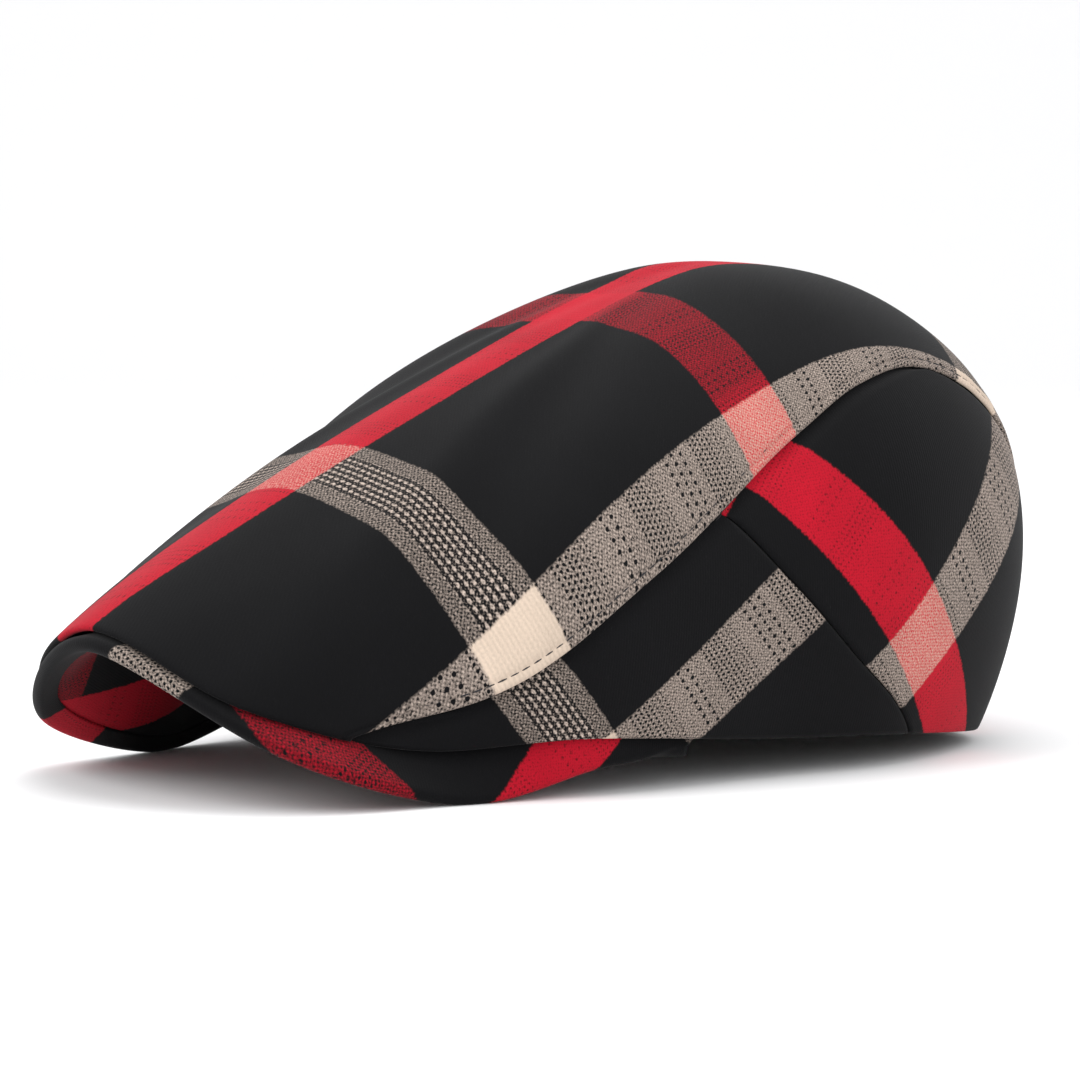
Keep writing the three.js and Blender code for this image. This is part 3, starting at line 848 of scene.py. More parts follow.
@dataclass
class Sewing:
    """Turns one-layer sheets into finished pieces of the cap.

    A cut that fills more than `oblong_share` of its rectangle counts as a rectangle.
    """

    thickness: float = 0.9
    oblong_share: float = 0.96

    def thicken(self, piece: bpy.types.Object, thickness: float) -> None:
        """Gives a one-layer sheet its thickness in millimetres, inwards from its face."""
        solid = piece.modifiers.new("thickness", "SOLIDIFY")
        solid.thickness, solid.offset = thickness * MM, -1.0

    def fit(self, piece: bpy.types.Object, material: bpy.types.Material, slot: str, node: str,
            body: str = BODY) -> bpy.types.Object:
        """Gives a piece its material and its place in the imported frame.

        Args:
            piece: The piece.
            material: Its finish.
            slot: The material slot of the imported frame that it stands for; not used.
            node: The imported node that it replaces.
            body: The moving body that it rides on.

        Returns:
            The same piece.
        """
        piece.data.materials.append(material)
        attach(piece, body)
        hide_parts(node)
        log.info("%s stands for %s", piece.name, node)
        return piece

    def finish(self, piece: bpy.types.Object, material: bpy.types.Material, slot: str, node: str,
               rests_on: Sequence[str], held: str = "stretched", thickness: float | None = None,
               body: str = BODY, smooth_levels: int = 1,
               cut: tuple[float, float] | None = None) -> bpy.types.Object:
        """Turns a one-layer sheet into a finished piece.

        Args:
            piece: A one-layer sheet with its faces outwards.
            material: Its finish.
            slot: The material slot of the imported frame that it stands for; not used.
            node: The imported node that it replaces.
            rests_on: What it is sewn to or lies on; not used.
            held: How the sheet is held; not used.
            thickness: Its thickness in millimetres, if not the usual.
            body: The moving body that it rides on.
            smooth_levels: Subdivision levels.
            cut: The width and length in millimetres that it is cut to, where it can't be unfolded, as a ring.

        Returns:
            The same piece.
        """
        size = [side * MM for side in (cut or cut_size(laid_flat(piece)))]
        self.thicken(piece, thickness or self.thickness)
        if smooth_levels:
            smooth = piece.modifiers.new("smooth", "SUBSURF")
            smooth.levels = smooth.render_levels = smooth_levels
            smooth.uv_smooth = "PRESERVE_BOUNDARIES"
        self.fit(piece, material, slot, node, body)
        return piece


def wobble(disc: Array, waves: float, seed: int) -> Array:
    """A smooth uneven value of about -1 to 1 over the disc, from a few turned waves."""
    rng = np.random.default_rng(seed)
    total = np.zeros(disc.shape[:-1])
    count = 7
    for _ in range(count):
        heading, start = rng.uniform(0, 2 * math.pi, 2)
        pace = waves * rng.uniform(0.6, 1.5) * math.pi
        total += np.sin(pace * (disc[..., 0] * math.cos(heading) + disc[..., 1] * math.sin(heading)) + start)
    return total / math.sqrt(count)


# ---------------------------------------------------------------- crown


@dataclass
class Crown:
    """The crown's five cloth panels, its topstitches, and the interfacing behind the front of the top panel.

    `stitch_size` is a stitch's length, the gap to the next one and its radius. `disc_reach` is roughly how many
    millimetres one unit of the disc stands for.
    """

    dome: Dome
    cut: CutLines
    sewing: Sewing
    cloth: bpy.types.Material
    hem_radius: float = 0.986
    roll: float = 1.1
    turned_in: float = 9.0
    proud: float = 0.55
    edge_round: float = 1.3
    stitch_in: float = 2.8
    stitch_size: tuple[float, float, float] = (3.0, 0.3, 0.24)
    stitch_sunk: float = 0.42
    tuck: float = 1.03
    groove: float = 1.35
    unevenness: float = 0.3
    disc_reach: float = 95.0
    hem_packing: float = 1.35

    top_marks: tuple = (
        Mark((-0.12, -0.92), 0), Mark((0, -0.5), 0), Mark((0, 0), 0), Mark((0, 0.5), 0), Mark((0, 0.9), 0),
        Mark((0.669, 0.013), 82), Mark((0.545, 0.136), 82, 95), Mark((0.404, 0.243), 82),
        Mark((0.29, 0.309), 82), Mark((0.666, -0.71), 72), Mark((0.696, -0.539), 72),
        Mark((0.716, -0.349), 72), Mark((0.686, -0.169), 72), Mark((0.559, 0.058), 72),
        Mark((0.462, 0.149), 72), Mark((0.339, 0.232), 72),
        Mark((0.229, 0.329), 72),
        Mark((0, -0.63), None, 0), Mark((0.43, -0.532), None, 0), Mark((0.765, -0.364), None, 0),
        Mark((0, -0.245), None, 95), Mark((0.396, 0.013), None, 95),
        Mark((0.219, 0.356), None, 180), Mark((0.259, 0.429), None, 190),
    )
    side_marks: tuple = (
        Mark((0.973, -0.209), 72, 10), Mark((0.756, 0.202), 72), Mark((0.99, 0.048), 92),
        Mark((0.793, 0.299), 92),
        Mark((0.833, -0.275), None, 10), Mark((0.813, -0.416), None, -10), Mark((0.96, -0.38), None, -10),
        Mark((0.787, 0.58), None, 78), Mark((0.70, 0.10), None, 76),
    )
    back_marks: tuple = (
        Mark((0.578, 0.183), None, 95), Mark((0.656, 0.271), None, 95), Mark((0.713, 0.462), None, 95),
        Mark((0.654, 0.757), None, 95),
        Mark((0.797, 0.512), 246), Mark((0.723, 0.535), 246), Mark((0.528, 0.556), 246),
        Mark((0.395, 0.562), 246),
    )

    def raised(self, disc: Array, height: Array) -> Array:
        """Points at a height over the dome."""
        return self.dome.point(disc) + self.dome.normal(disc) * height[:, None]

    def hem_fold(self, disc: Array, run: Array, height: Array) -> Array:
        """Points where the cloth is turned in at the hem.

        Args:
            disc: Places on the hem that the cloth leaves from.
            run: How far past the hem each point is, in millimetres along the cloth.
            height: How high over the dome the cloth is where it leaves the hem.

        Returns:
            Points round the fold and up the inside.
        """
        normal = self.dome.normal(disc)
        hem = self.dome.point(disc) + normal * height[:, None]
        down = unit(self.dome.point(disc) - self.dome.point(disc * 0.97))
        turn = np.minimum(run / self.roll, np.pi)[:, None]
        straight = np.maximum(run - np.pi * self.roll, 0)[:, None]
        centre = hem - normal * self.roll
        rounded = centre + self.roll * (normal * np.cos(turn) + down * np.sin(turn))
        return rounded - straight * down

    def sheet(self, name: str, patch: Patch, columns: int, rows: int, shares: Callable, height: Callable,
              hems: tuple[bool, bool], marks: Sequence[Mark], turn: float,
              side: Side = Side.LEFT) -> bpy.types.Object:
        """Builds one panel and lays its cloth.

        Args:
            name: The piece's name.
            patch: Its place on the disc.
            columns: Grid squares from start to end.
            rows: Grid squares from low to high, with the turned hems.
            shares: Turns even grid shares into shares of the patch, finer at the seams.
            height: The height over the dome for shares of the patch and places on the disc.
            hems: Whether the low and the high edge are hems.
            marks: Where the cloth's lines run.
            turn: How far the cloth is turned on it, in degrees.
            side: The side that it is built for. A right panel is the left one, mirrored.

        Returns:
            The one-layer sheet.
        """
        hem_rows = 7
        low = hem_rows / rows if hems[0] else 0.0
        high = hem_rows / rows if hems[1] else 0.0
        fold = np.pi * self.roll + self.turned_in
        record: dict[str, Array] = {}

        def place(u: Array, v: Array) -> Array:
            """The panel's points for shares of its grid."""
            inner = np.clip((v - low) / (1 - low - high), 0, 1)
            across, up = shares(u, inner)
            disc = patch.at(across, up)
            lift = height(across, up, disc)
            points = self.raised(disc, lift)
            past_low = np.where(v < low - 1e-6, (low - v) / max(low, 1e-9), 0)
            past_high = np.where(v > 1 - high + 1e-6, (v - 1 + high) / max(high, 1e-9), 0)
            past = past_low**self.hem_packing * fold + past_high**self.hem_packing * fold
            folded = self.hem_fold(disc, past, lift)
            points = np.where(past[:, None] > 0, folded, points)
            radius = np.linalg.norm(disc, axis=1, keepdims=True)
            record["places"] = disc * (1 + past[:, None] / self.disc_reach / np.maximum(radius, 0.3))
            return points * (side.value, 1, 1)

        piece = sheet_object(name, columns, rows, place)
        if side is Side.RIGHT:
            piece.data.flip_normals()
            marks = [mark.mirrored() for mark in marks]
        lay_cloth(piece, record["places"] * (side.value, 1), marks, turn * side.value)
        return piece

    def edge_height(self, inside: Array) -> Array:
        """The top panel's lapped edge: proud of the dome, rounded over, with a line sunk by its stitches."""
        lap = self.proud * (1 - 0.75 * fade(inside, 3, 14))
        over = np.clip(1 - inside / self.edge_round, 0, 1)
        rounded = (1 - np.sqrt(np.maximum(1 - over**2, 0))) * 1.2
        sunk = 0.5 * np.exp(-(((inside - self.stitch_in) / 0.55) ** 2))
        return lap - rounded - sunk

    def top(self) -> bpy.types.Object:
        """The one-piece top panel, from the front hem over the crown to the back hem."""
        front, tail = share_of(self.cut.seam[0]), share_of(self.cut.seam[-1])
        last = len(self.cut.seam) - 1
        patch = Patch(
            low=lambda u: on_circle(front * (2 * u - 1), self.hem_at(front * (2 * u - 1))),
            high=lambda u: on_circle(1 + (1 - tail) * (1 - 2 * u), self.hem_radius),
            start=lambda v: self.cut.seam_part(0, last, v) * (-1, 1) * self.hem_scale(v),
            end=lambda v: self.cut.seam_part(0, last, v) * self.hem_scale(v),
        )

        def height(u: Array, v: Array, disc: Array) -> Array:
            """The lapped edges, and a gentle unevenness in between."""
            points = self.dome.point(disc)
            edges = [self.dome.point(edge(v)) for edge in (patch.start, patch.end)]
            inside = np.minimum(*(np.linalg.norm(points - edge, axis=1) for edge in edges))
            pucker = 0.16 * np.sin(v * 260 + 2 * np.sin(v * 37)) * np.exp(-(((inside - 3.5) / 3.5) ** 2))
            loose = self.unevenness * wobble(disc, 2.6, 11) + 0.2 * wobble(disc, 7, 5)
            return self.edge_height(inside) + pucker + loose * fade(inside, 2, 30)

        def shares(u: Array, v: Array) -> tuple[Array, Array]:
            """Columns drawn to both seams."""
            return u - 0.9 * np.sin(2 * np.pi * u) / (2 * np.pi), v

        both = [*self.top_marks, *(mark.mirrored() for mark in self.top_marks if mark.place[0] > 0.15)]
        piece = self.sheet("crown_top", patch, 90, 130, shares, height, (True, True), both, 0)
        return self.sewing.finish(piece, self.cloth, "crown_cloth", "top_panel", ["top_lining"])

    def hem_at(self, share: Array) -> Array:
        """The hem's disc radius: drawn in where the cap stands on its fold, full over the bill."""
        return 1 - (1 - self.hem_radius) * fade(np.abs(share), 0.2, 0.36)

    def hem_scale(self, share: Array) -> Array:
        """Draws the ends of the long seam in to the hem's radius."""
        front = np.maximum(1 - share / 0.06, 0) * (1 - self.hem_at(np.array(share_of(self.cut.seam[0]))))
        back = np.maximum(1 - (1 - share) / 0.06, 0) * (1 - self.hem_radius)
        return (1 - front - back)[:, None]

    def tucked(self, patch: Patch, seams: Sequence[str], plain: str) -> Callable:
        """The height of a panel whose edges dip under the top panel, or at `plain` into a seam's groove."""

        def height(u: Array, v: Array, disc: Array) -> Array:
            """Sinks towards each seam, from the point's distance to it."""
            points = self.dome.point(disc)
            drops = [np.zeros(len(u))]
            for name in seams:
                edge = getattr(patch, name)
                near = self.dome.point(edge(np.clip(u if name == "high" else v, 0, 1)))
                inside = np.linalg.norm(points - near, axis=1)
                inside = np.where((v > 1) if name == "high" else (u > 1), 0, inside)
                if name == plain:
                    over = np.clip(1 - inside / 2.0, 0, 1)
                    drops.append(1.0 * (1 - np.sqrt(np.maximum(1 - over**2, 0))) + 0.15 * np.exp(-inside / 4))
                else:
                    drops.append(self.groove * (1 - fade(inside, 0, 5.5)))
            return self.unevenness * 0.7 * wobble(disc, 3.4, 23) - np.max(drops, axis=0)

        return height

    def side(self, side: Side) -> bpy.types.Object:
        """A side panel, between the hem, the long seam and the plain diagonal seam."""
        front, back = share_of(self.cut.seam[0]), share_of(self.cut.diagonal[-1])
        patch = Patch(
            low=lambda u: on_circle(front + (back - front) * u, self.hem_at(front + (back - front) * u)),
            high=lambda u: self.cut.seam_part(0, self.cut.seam_at_diagonal, u) * self.hem_scale(u * 0.4),
            start=lambda v: on_circle(np.full_like(v, front), self.hem_at(np.full_like(v, front))),
            end=lambda v: spline(self.cut.diagonal, 1 - v) * (1 - (1 - self.hem_radius) * (1 - v))[:, None],
        )

        def shares(u: Array, v: Array) -> tuple[Array, Array]:
            """Columns drawn to the diagonal seam and rows to the long one, which they pass."""
            half = 0.5 + u / 2
            up = 0.5 + v / 2
            across = 2 * (half - 0.8 * np.sin(2 * np.pi * half) / (2 * np.pi)) - 1
            rise = 2 * (up - 0.6 * np.sin(2 * np.pi * up) / (2 * np.pi)) - 1
            return across, rise * self.tuck

        height = self.tucked(patch, ("high", "end"), "end")
        name = f"crown_side_{side.word}"
        piece = self.sheet(name, patch, 96, 56, shares, height, (True, False), self.side_marks, 0, side)
        return self.sewing.finish(piece, self.cloth, "crown_cloth", f"{side.word}_side_panel",
                                  [f"{side.word}_lining"])

    def back(self, side: Side) -> bpy.types.Object:
        """A back panel, between the diagonal seam, the long seam and the back hem."""
        first, last = share_of(self.cut.diagonal[-1]), share_of(self.cut.seam[-1])
        end_of_seam = len(self.cut.seam) - 1
        patch = Patch(
            low=lambda u: on_circle(first + (last - first) * u, self.hem_radius),
            high=lambda u: self.cut.seam_part(self.cut.seam_at_diagonal, self.cut.seam_at_corner, u),
            start=lambda v: spline(self.cut.diagonal, 1 - v) * (1 - (1 - self.hem_radius) * (1 - v))[:, None],
            end=lambda v: self.cut.seam_part(end_of_seam, self.cut.seam_at_corner, v)
            * (1 - (1 - self.hem_radius) * np.maximum(1 - v / 0.3, 0))[:, None],
        )

        def shares(u: Array, v: Array) -> tuple[Array, Array]:
            """Columns and rows drawn to the seams; those under the top panel run on past the edge."""
            across = u - 0.75 * np.sin(2 * np.pi * u) / (2 * np.pi)
            up = 0.5 + v / 2
            rise = 2 * (up - 0.75 * np.sin(2 * np.pi * up) / (2 * np.pi)) - 1
            return across * self.tuck, rise * self.tuck

        height = self.tucked(patch, ("high", "end", "start"), "start")
        name = f"crown_back_{side.word}"
        piece = self.sheet(name, patch, 64, 64, shares, height, (True, False), self.back_marks, 75, side)
        return self.sewing.finish(piece, self.cloth, "crown_cloth", f"{side.word}_back_panel",
                                  [f"{side.word}_lining"])

    def interfacing(self, finish: bpy.types.Material) -> bpy.types.Object:
        """The stiff layer behind the front of the top panel."""
        half, hem, top = 0.2, 0.82, 0.45

        def place(u: Array, v: Array) -> Array:
            """Points 2.4 mm under the outer face."""
            return self.dome.below(on_circle(half * (2 * u - 1), hem + (top - hem) * v), 2.4)

        piece = sheet_object("front_stiffener", 24, 18, place)
        return self.sewing.finish(piece, finish, "interfacing", "front_interfacing", ["crown_top"],
                                  thickness=0.5, smooth_levels=0)

    def topstitches(self, side: Side, thread: bpy.types.Material) -> bpy.types.Object:
        """The row of stitches along a long seam, one small bead of thread for each."""
        length, gap, radius = self.stitch_size
        last = len(self.cut.seam) - 1
        share = np.linspace(0.012, 0.985, 700)
        line = self.cut.seam_part(0, last, share)
        edge = self.dome.point(line)
        ahead = self.cut.seam_part(0, last, share + 0.002) - self.cut.seam_part(0, last, share - 0.002)
        inwards = unit(np.stack([-ahead[:, 1], ahead[:, 0]], -1))
        reach = np.linalg.norm(self.dome.point(line + inwards * 0.02) - edge, axis=1)
        disc = line + inwards * (0.02 * self.stitch_in / reach)[:, None]
        track = self.raised(disc, np.full(len(disc), self.proud - self.stitch_sunk)) * (side.value, 1, 1)
        normal = self.dome.normal(disc) * (side.value, 1, 1)
        run = np.concatenate([[0], np.cumsum(np.linalg.norm(np.diff(track, axis=0), axis=1))])

        def along_track(values: Array, place: float) -> Array:
            """Values on the track at a place in millimetres."""
            return np.array([np.interp(place, run, values[:, k]) for k in range(3)])

        mesh = bmesh.new()
        start = 0.5
        while start + length < run[-1]:
            ends = [along_track(track, start), along_track(track, start + length)]
            up = along_track(normal, start + length / 2)
            along = unit(ends[1] - ends[0])
            across = unit(np.cross(up, along))
            turned = Matrix(np.stack([along, across, np.cross(along, across)], 1).tolist()).to_4x4()
            turned.translation = Vector(((ends[0] + ends[1]) / 2 * MM).tolist())
            stretched = Matrix.Diagonal((length / 2 * MM, radius * MM, radius * MM, 1))
            bmesh.ops.create_uvsphere(mesh, u_segments=6, v_segments=4, radius=1, matrix=turned @ stretched)
            start += length + gap
        piece = new_piece(f"topstitches_{side.word}", mesh)
        return self.sewing.fit(piece, thread, "thread", f"{side.word}_seam_thread")


# ---------------------------------------------------------------- bill


@dataclass
class BillPieces:
    """The bill: a stiff board between a top cover that wraps its rim and a cover underneath.

    `round_rim` and `reach` are its lengths round the rim and from head opening to rim.
    """

    bill: Bill
    sewing: Sewing
    cloth: bpy.types.Material
    ends: tuple = (0.008, 0.992)
    cover: float = 2.0
    turn_under: float = 0.9
    round_rim: float = 280.0
    reach: float = 55.0
    cloth_turn: float = -12.0
    marks: tuple = (
        Mark((0.55, 1.0), 82), Mark((0.55, 0.75), 82), Mark((0.345, 1.0), 0),
        Mark((0.807, 1.0), 158), Mark((0.84, 0.85), 158), Mark((0.868, 1.0), 178), Mark((0.885, 0.85), 178),
        Mark((0.588, 0.9), None, -105), Mark((0.635, 1.0), None, -105), Mark((0.675, 0.83), None, -85),
        Mark((0.695, 1.0), None, -85), Mark((0.93, 1.0), None, -24),
    )

    def laid(self, piece: bpy.types.Object, shares: Array) -> None:
        """Lays the cloth on one of the bill's covers."""
        wide, deep = self.round_rim / FIT_UNIT, self.reach / FIT_UNIT
        marks = [
            Mark(((mark.place[0] - 0.5) * wide, -mark.place[1] * deep), mark.across, mark.along)
            for mark in self.marks
        ]
        places = np.stack([(shares[:, 0] - 0.5) * wide, -shares[:, 1] * deep], -1)
        lay_cloth(piece, places, marks, self.cloth_turn)

    def top(self) -> bpy.types.Object:
        """The top cover, wrapped round the rim and a little way back underneath."""
        record: dict[str, Array] = {}
        flat_part, turn_part = 0.62, 0.86

        def place(u: Array, v: Array) -> Array:
            """The top face, the round of the rim, and the strip underneath."""
            across = self.ends[0] + (self.ends[1] - self.ends[0]) * u
            out = np.clip(v / flat_part, 0, 1)
            turn = np.clip((v - flat_part) / (turn_part - flat_part), 0, 1) * np.pi
            back = np.clip((v - turn_part) / (1 - turn_part), 0, 1)
            out = out - (1 - self.turn_under) * back
            normal, outwards = self.bill.directions(across, np.minimum(out, 1))
            middle = self.bill.middle(across, np.minimum(out, 1))
            rise = self.cover + 0.25 * np.sin(across * 40) * np.exp(-(((out - 0.6) / 0.2) ** 2)) * (turn == 0)
            upwards, over = rise * np.cos(turn), self.cover * np.sin(turn)
            points = middle + normal * upwards[:, None] + outwards * over[:, None]
            points[:, 2] = np.maximum(points[:, 2], 0.03)
            along_cloth = out + turn * self.cover / self.reach + 2 * (1 - self.turn_under) * back
            record["shares"] = np.stack([across, along_cloth], -1)
            return points

        piece = sheet_object("bill_top", 150, 44, place)
        piece.data.flip_normals()
        self.laid(piece, record["shares"])
        return self.sewing.finish(piece, self.cloth, "brim_cloth", "brim_top_cover", ["bill_board"])

    def under(self) -> bpy.types.Object:
        """The cover underneath, from the head opening to just inside the rim."""
        record: dict[str, Array] = {}

        def place(u: Array, v: Array) -> Array:
            """The lower face, sinking to the edge that is sewn to the top cover."""
            across = self.ends[0] + (self.ends[1] - self.ends[0]) * u
            out = 0.93 * v
            record["shares"] = np.stack([across, out], -1)
            return self.bill.off(across, out, -1.75 + 0.5 * fade(out, 0.86, 0.93))

        piece = sheet_object("bill_under", 130, 30, place)
        self.laid(piece, record["shares"])
        return self.sewing.finish(piece, self.cloth, "brim_cloth", "brim_under_cover", ["bill_board"],
                                  thickness=0.6)

    def board(self, finish: bpy.types.Material) -> bpy.types.Object:
        """The plastic board inside."""

        def place(u: Array, v: Array) -> Array:
            """The board's upper face."""
            return self.bill.off(0.03 + 0.94 * u, 0.03 + 0.94 * v, 0.7)

        piece = sheet_object("bill_board", 60, 12, place)
        piece.data.flip_normals()
        self.sewing.thicken(piece, 1.3)
        return self.sewing.fit(piece, finish, "brim_board", "brim_board")


# ---------------------------------------------------------------- inside


@dataclass
class Inside:
    """The lining, the sweatband with its elastic, and the size label."""

    dome: Dome
    cut: CutLines
    sewing: Sewing
    band_low: Array = field(default_factory=lambda: mirrored_loop([
        (0, -82, 63), (30, -73, 56), (52, -53, 39), (66, -30, 22), (72, 10, 11), (73.5, 60, 8),
        (50, 104, 3.5), (0, 117, 3.5),
    ]))
    band_high: Array = field(default_factory=lambda: mirrored_loop([
        (0, -55, 76), (28, -48, 73), (49, -32, 63), (63, -8, 52), (69, 25, 43), (70, 64, 39),
        (48, 104, 34), (0, 119, 34),
    ]))
    lining_seam: Array = field(default_factory=lambda: np.array([
        (0.50, -0.54), (0.66, -0.33), (0.72, -0.12), (0.685, 0.075), (0.54, 0.19),
        (0.40, 0.265), (0.30, 0.34), (0.258, 0.5), (0.235, 0.72), (0.21, 0.90),
    ]))
    lining_hem: Array = field(default_factory=lambda: np.array([
        (0.50, -0.54), (0.70, -0.41), (0.845, -0.13), (0.91, 0.16), (0.78, 0.50), (0.50, 0.78), (0.21, 0.90),
    ]))
    depth: float = 4.1
    gathers: int = 150

    def top_lining(self, satin: bpy.types.Material) -> bpy.types.Object:
        """The lining under the top panel."""
        front, back = share_of(self.lining_seam[0]), share_of(self.lining_seam[-1])
        patch = Patch(
            low=lambda u: on_circle(front * (2 * u - 1), 0.736),
            high=lambda u: on_circle(1 + (1 - back) * (1 - 2 * u), 0.924),
            start=lambda v: spline(self.lining_seam, v) * (-1, 1),
            end=lambda v: spline(self.lining_seam, v),
        )

        def place(u: Array, v: Array) -> Array:
            """Points under the panel, with soft creases, dipping to the seams."""
            disc = patch.at(u, v)
            crease = 0.35 * wobble(disc, 6, 3) * fade(np.minimum(u, 1 - u), 0, 0.06)
            sewn = 0.5 * (1 - fade(np.minimum(u, 1 - u), 0, 0.02))
            return self.dome.below(disc, self.depth + 0.35 + crease - sewn)

        piece = sheet_object("lining_top", 60, 90, place)
        return self.sewing.finish(piece, satin, "lining", "top_lining", ["crown_top"], thickness=0.25)

    def side_lining(self, side: Side, satin: bpy.types.Material) -> bpy.types.Object:
        """The lining under a side panel and a back panel."""
        patch = Patch(
            low=lambda u: spline(self.lining_hem, u),
            high=lambda u: spline(self.lining_seam, u),
            start=lambda v: np.tile(self.lining_seam[0], (len(v), 1)),
            end=lambda v: np.tile(self.lining_seam[-1], (len(v), 1)),
        )

        def place(u: Array, v: Array) -> Array:
            """Points under the panels, with soft creases."""
            disc = patch.at(0.03 + 0.95 * u, 0.985 * v)
            crease = 0.35 * wobble(disc, 6, 8) * fade(1 - v, 0, 0.12)
            return self.dome.below(disc, self.depth + 0.3 + crease) * (side.value, 1, 1)

        piece = sheet_object(f"lining_{side.word}", 80, 26, place)
        if side is Side.RIGHT:
            piece.data.flip_normals()
        return self.sewing.finish(piece, satin, "lining", f"{side.word}_lining", [f"crown_side_{side.word}"],
                                  thickness=0.25)

    def band_point(self, round_it: Array, up: Array, inwards: Array) -> Array:
        """Points of the sweatband: round the opening from the front, up the band, and in from its face."""
        low, high = (spline(loop, round_it, closed=True) for loop in (self.band_low, self.band_high))
        step = 0.004
        ahead, behind = (spline(self.band_low, round_it + way, closed=True) for way in (step, -step))
        normal = unit(np.cross(ahead - behind, high - low))
        return low + (high - low) * up[:, None] - normal * inwards[:, None]

    def sweatband(self, cotton: bpy.types.Material) -> bpy.types.Object:
        """The cotton band round the head opening, gathered over the elastic at the back."""

        def place(u: Array, v: Array) -> Array:
            """The band's outer face: a row of stitches near the lower edge, gathers at the back."""
            share = 1 - np.abs(2 * u - 1)
            back = fade(share, 0.78, 0.86)
            folds = 0.45 * back * np.sin(u * 2 * np.pi * self.gathers)
            gathered = folds * fade(v, 0.05, 0.3) * (1 - 0.6 * fade(v, 0.8, 1))
            sunk = 0.25 * np.exp(-(((v - 0.09) / 0.02) ** 2)) + 0.25 * np.exp(-(((v - 0.93) / 0.02) ** 2))
            flare = 2.2 * (1 - fade(v, 0.0, 0.09))
            return self.band_point(u, v, 0.15 + gathered * 0.8 + sunk - flare)

        run = np.linspace(0, 1, 1441)
        cut = run_length(place(np.zeros_like(run), run)), run_length(place(run, np.full_like(run, 0.5)))
        piece = sheet_object("sweatband_cloth", 720, 26, place, ring=True)
        panels = [f"crown_side_{side.word}" for side in Side]
        return self.sewing.finish(piece, cotton, "sweatband", "sweatband", panels, smooth_levels=0, cut=cut)

    def elastic(self, finish: bpy.types.Material) -> bpy.types.Object:
        """The elastic behind the back of the sweatband."""

        def place(u: Array, v: Array) -> Array:
            """Its outer face."""
            return self.band_point(0.4 + 0.2 * u, 0.22 + 0.6 * v, np.full_like(u, -1.5))

        piece = sheet_object("back_elastic", 60, 10, place)
        return self.sewing.finish(piece, finish, "elastic", "sweatband_elastic", ["sweatband_cloth"],
                                  thickness=0.8, smooth_levels=0)

    def label(self, tape: bpy.types.Material) -> bpy.types.Object:
        """A blank woven label that hangs from the lining at the back and swings on its stitched top edge."""
        width, length = 18.0, 24.0

        def place(u: Array, v: Array) -> Array:
            """A slightly bowed tape with its ends turned back."""
            bow = 0.35 * np.sin(np.pi * u) * v
            return np.stack([width * (u - 0.5), 114.2 + bow - 0.2 * v, 31 - length * v], -1)

        piece = sheet_object("woven_label", 20, 26, place)
        return self.sewing.finish(piece, tape, "label", "size_label", ["sweatband_cloth"], held="hung",
                                  thickness=0.45, body="label", smooth_levels=0)


# ---------------------------------------------------------------- studio


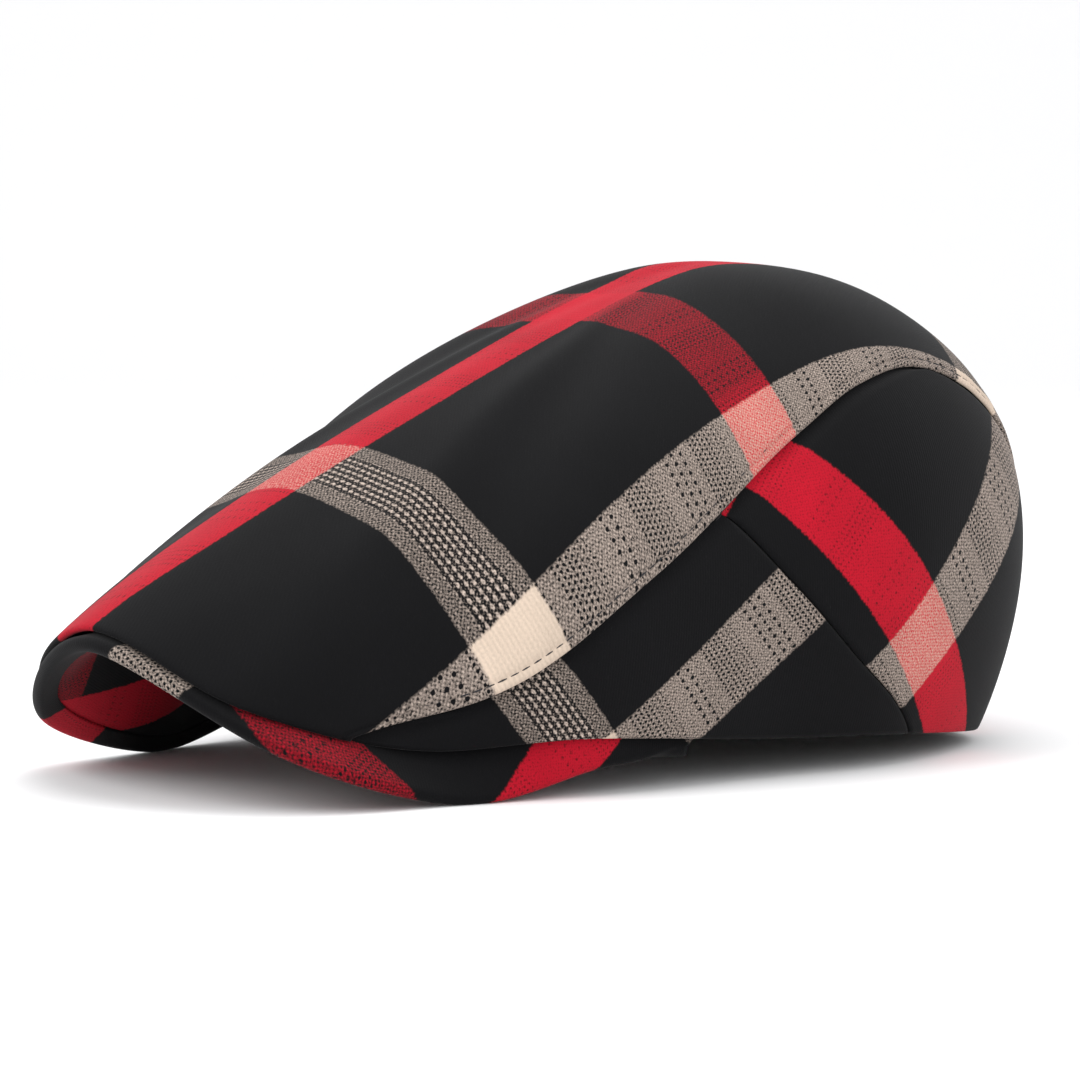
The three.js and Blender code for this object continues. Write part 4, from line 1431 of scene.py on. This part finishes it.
@dataclass
class Studio:
    """A plain pale sweep, soft lights and the camera."""

    target: tuple = (0.0037, -0.0006, 0.0567)
    azimuth: float = 50.0
    elevation: float = 4.5
    distance: float = 1.124
    lens: float = 142.3
    sweep_near: float = 3.0
    sweep_far: float = 2.2
    sweep_round: float = 1.2
    half_width: float = 5.0
    lights: tuple = (
        ("key_light", (-0.5, -1.5, 1.5), 1.3, 20),
        ("side_light", (1.6, 0.5, 0.9), 1.4, 8),
        ("top_light", (0.0, 0.3, 1.9), 1.6, 17),
    )

    def backdrop(self) -> None:
        """A floor that sweeps up into a wall behind the cap."""
        heading = math.radians(self.azimuth)
        towards = np.array((math.sin(heading), -math.cos(heading)))
        aside = np.array((math.cos(heading), math.sin(heading)))

        def place(u: Array, v: Array) -> Array:
            """Floor, quarter round and wall, facing the camera."""
            floor = self.sweep_near + self.sweep_far
            quarter = self.sweep_round * math.pi / 2
            run = v * (floor + quarter + 3.0)
            turn = np.clip((run - floor) / self.sweep_round, 0, math.pi / 2)
            rest = np.maximum(run - floor - quarter, 0)
            back = -self.sweep_near + np.minimum(run, floor) + self.sweep_round * np.sin(turn)
            up = self.sweep_round * (1 - np.cos(turn)) + rest
            side = (u - 0.5) * 2 * self.half_width
            flat = side[:, None] * aside - back[:, None] * towards
            return np.concatenate([flat, up[:, None]], -1) / MM

        piece = sheet_object("backdrop", 8, 80, place)
        material, tree, shader = new_material("pale_paper")
        shader.inputs["Base Color"].default_value = linear("f4f4f5")
        shader.inputs["Roughness"].default_value = 0.9
        piece.data.materials.append(material)

    def light(self, name: str, place: tuple, size: float, power: float) -> None:
        """A square soft white light that points at the cap."""
        lamp = bpy.data.lights.new(name, "AREA")
        lamp.size, lamp.energy = size, power
        holder = bpy.data.objects.new(name, lamp)
        holder.location = place
        away = Vector(self.target) - Vector(place)
        holder.rotation_euler = away.to_track_quat("-Z", "Y").to_euler()
        bpy.context.scene.collection.objects.link(holder)

    def build(self) -> None:
        """Builds the whole studio."""
        self.backdrop()
        for light in self.lights:
            self.light(*light)
        world = bpy.data.worlds.new("studio")
        world.use_nodes = True
        world.node_tree.nodes["Background"].inputs["Color"].default_value = linear("ffffff")
        world.node_tree.nodes["Background"].inputs["Strength"].default_value = 0.93
        bpy.context.scene.world = world
        azimuth, elevation = math.radians(self.azimuth), math.radians(self.elevation)
        back = Vector((
            math.sin(azimuth) * math.cos(elevation),
            -math.cos(azimuth) * math.cos(elevation),
            math.sin(elevation),
        ))
        lens = bpy.data.cameras.new("camera")
        lens.lens, lens.sensor_width = self.lens, 36.0
        camera = bpy.data.objects.new("camera", lens)
        camera.location = Vector(self.target) + back * self.distance
        camera.rotation_euler = back.to_track_quat("Z", "Y").to_euler()
        bpy.context.scene.collection.objects.link(camera)
        bpy.context.scene.camera = camera
        bpy.context.scene.view_settings.view_transform = "Standard"


def main() -> None:
    """Builds the cap, dresses it and sets the studio."""
    logging.basicConfig(level=logging.INFO, format="%(message)s")
    dome, cut, sewing = Dome(), CutLines(), Sewing()
    wool = CheckedWool().material()
    satin = Textile("black_satin", "17171b", 0.42, yarn=0.35, relief=0.03, contrast=0.08, gloss=0.5)
    satin = satin.material()
    cotton = Textile("black_cotton", "151517", 0.8, yarn=0.5, relief=0.12, sheen=0.1).material()
    thread = Textile("dark_thread", "26262a", 0.6, yarn=0.25, relief=0.05).material()
    tape = Textile("woven_tape", "e4e0d6", 0.65, yarn=0.45, relief=0.08).material()
    canvas = Textile("stiff_canvas", "8c8a84", 0.9, yarn=0.7, relief=0.1).material()
    plastic = Textile("board_plastic", "d8d5cc", 0.5, yarn=2.0, relief=0.01, contrast=0.02).material()
    elastic = Textile("ribbed_elastic", "e2dfd6", 0.7, yarn=0.8, relief=0.15, stretched=0.3).material()

    crown = Crown(dome, cut, sewing, wool)
    crown.top()
    for side in Side:
        crown.side(side)
        crown.back(side)
        crown.topstitches(side, thread)
    crown.interfacing(canvas)

    bill = BillPieces(Bill(dome), sewing, wool)
    bill.top()
    bill.under()
    bill.board(plastic)

    inside = Inside(dome, cut, sewing)
    inside.top_lining(satin)
    for side in Side:
        inside.side_lining(side, satin)
    inside.sweatband(cotton)
    inside.elastic(elastic)
    inside.label(tape)
    Studio().build()


if __name__ == "__main__":
    main()
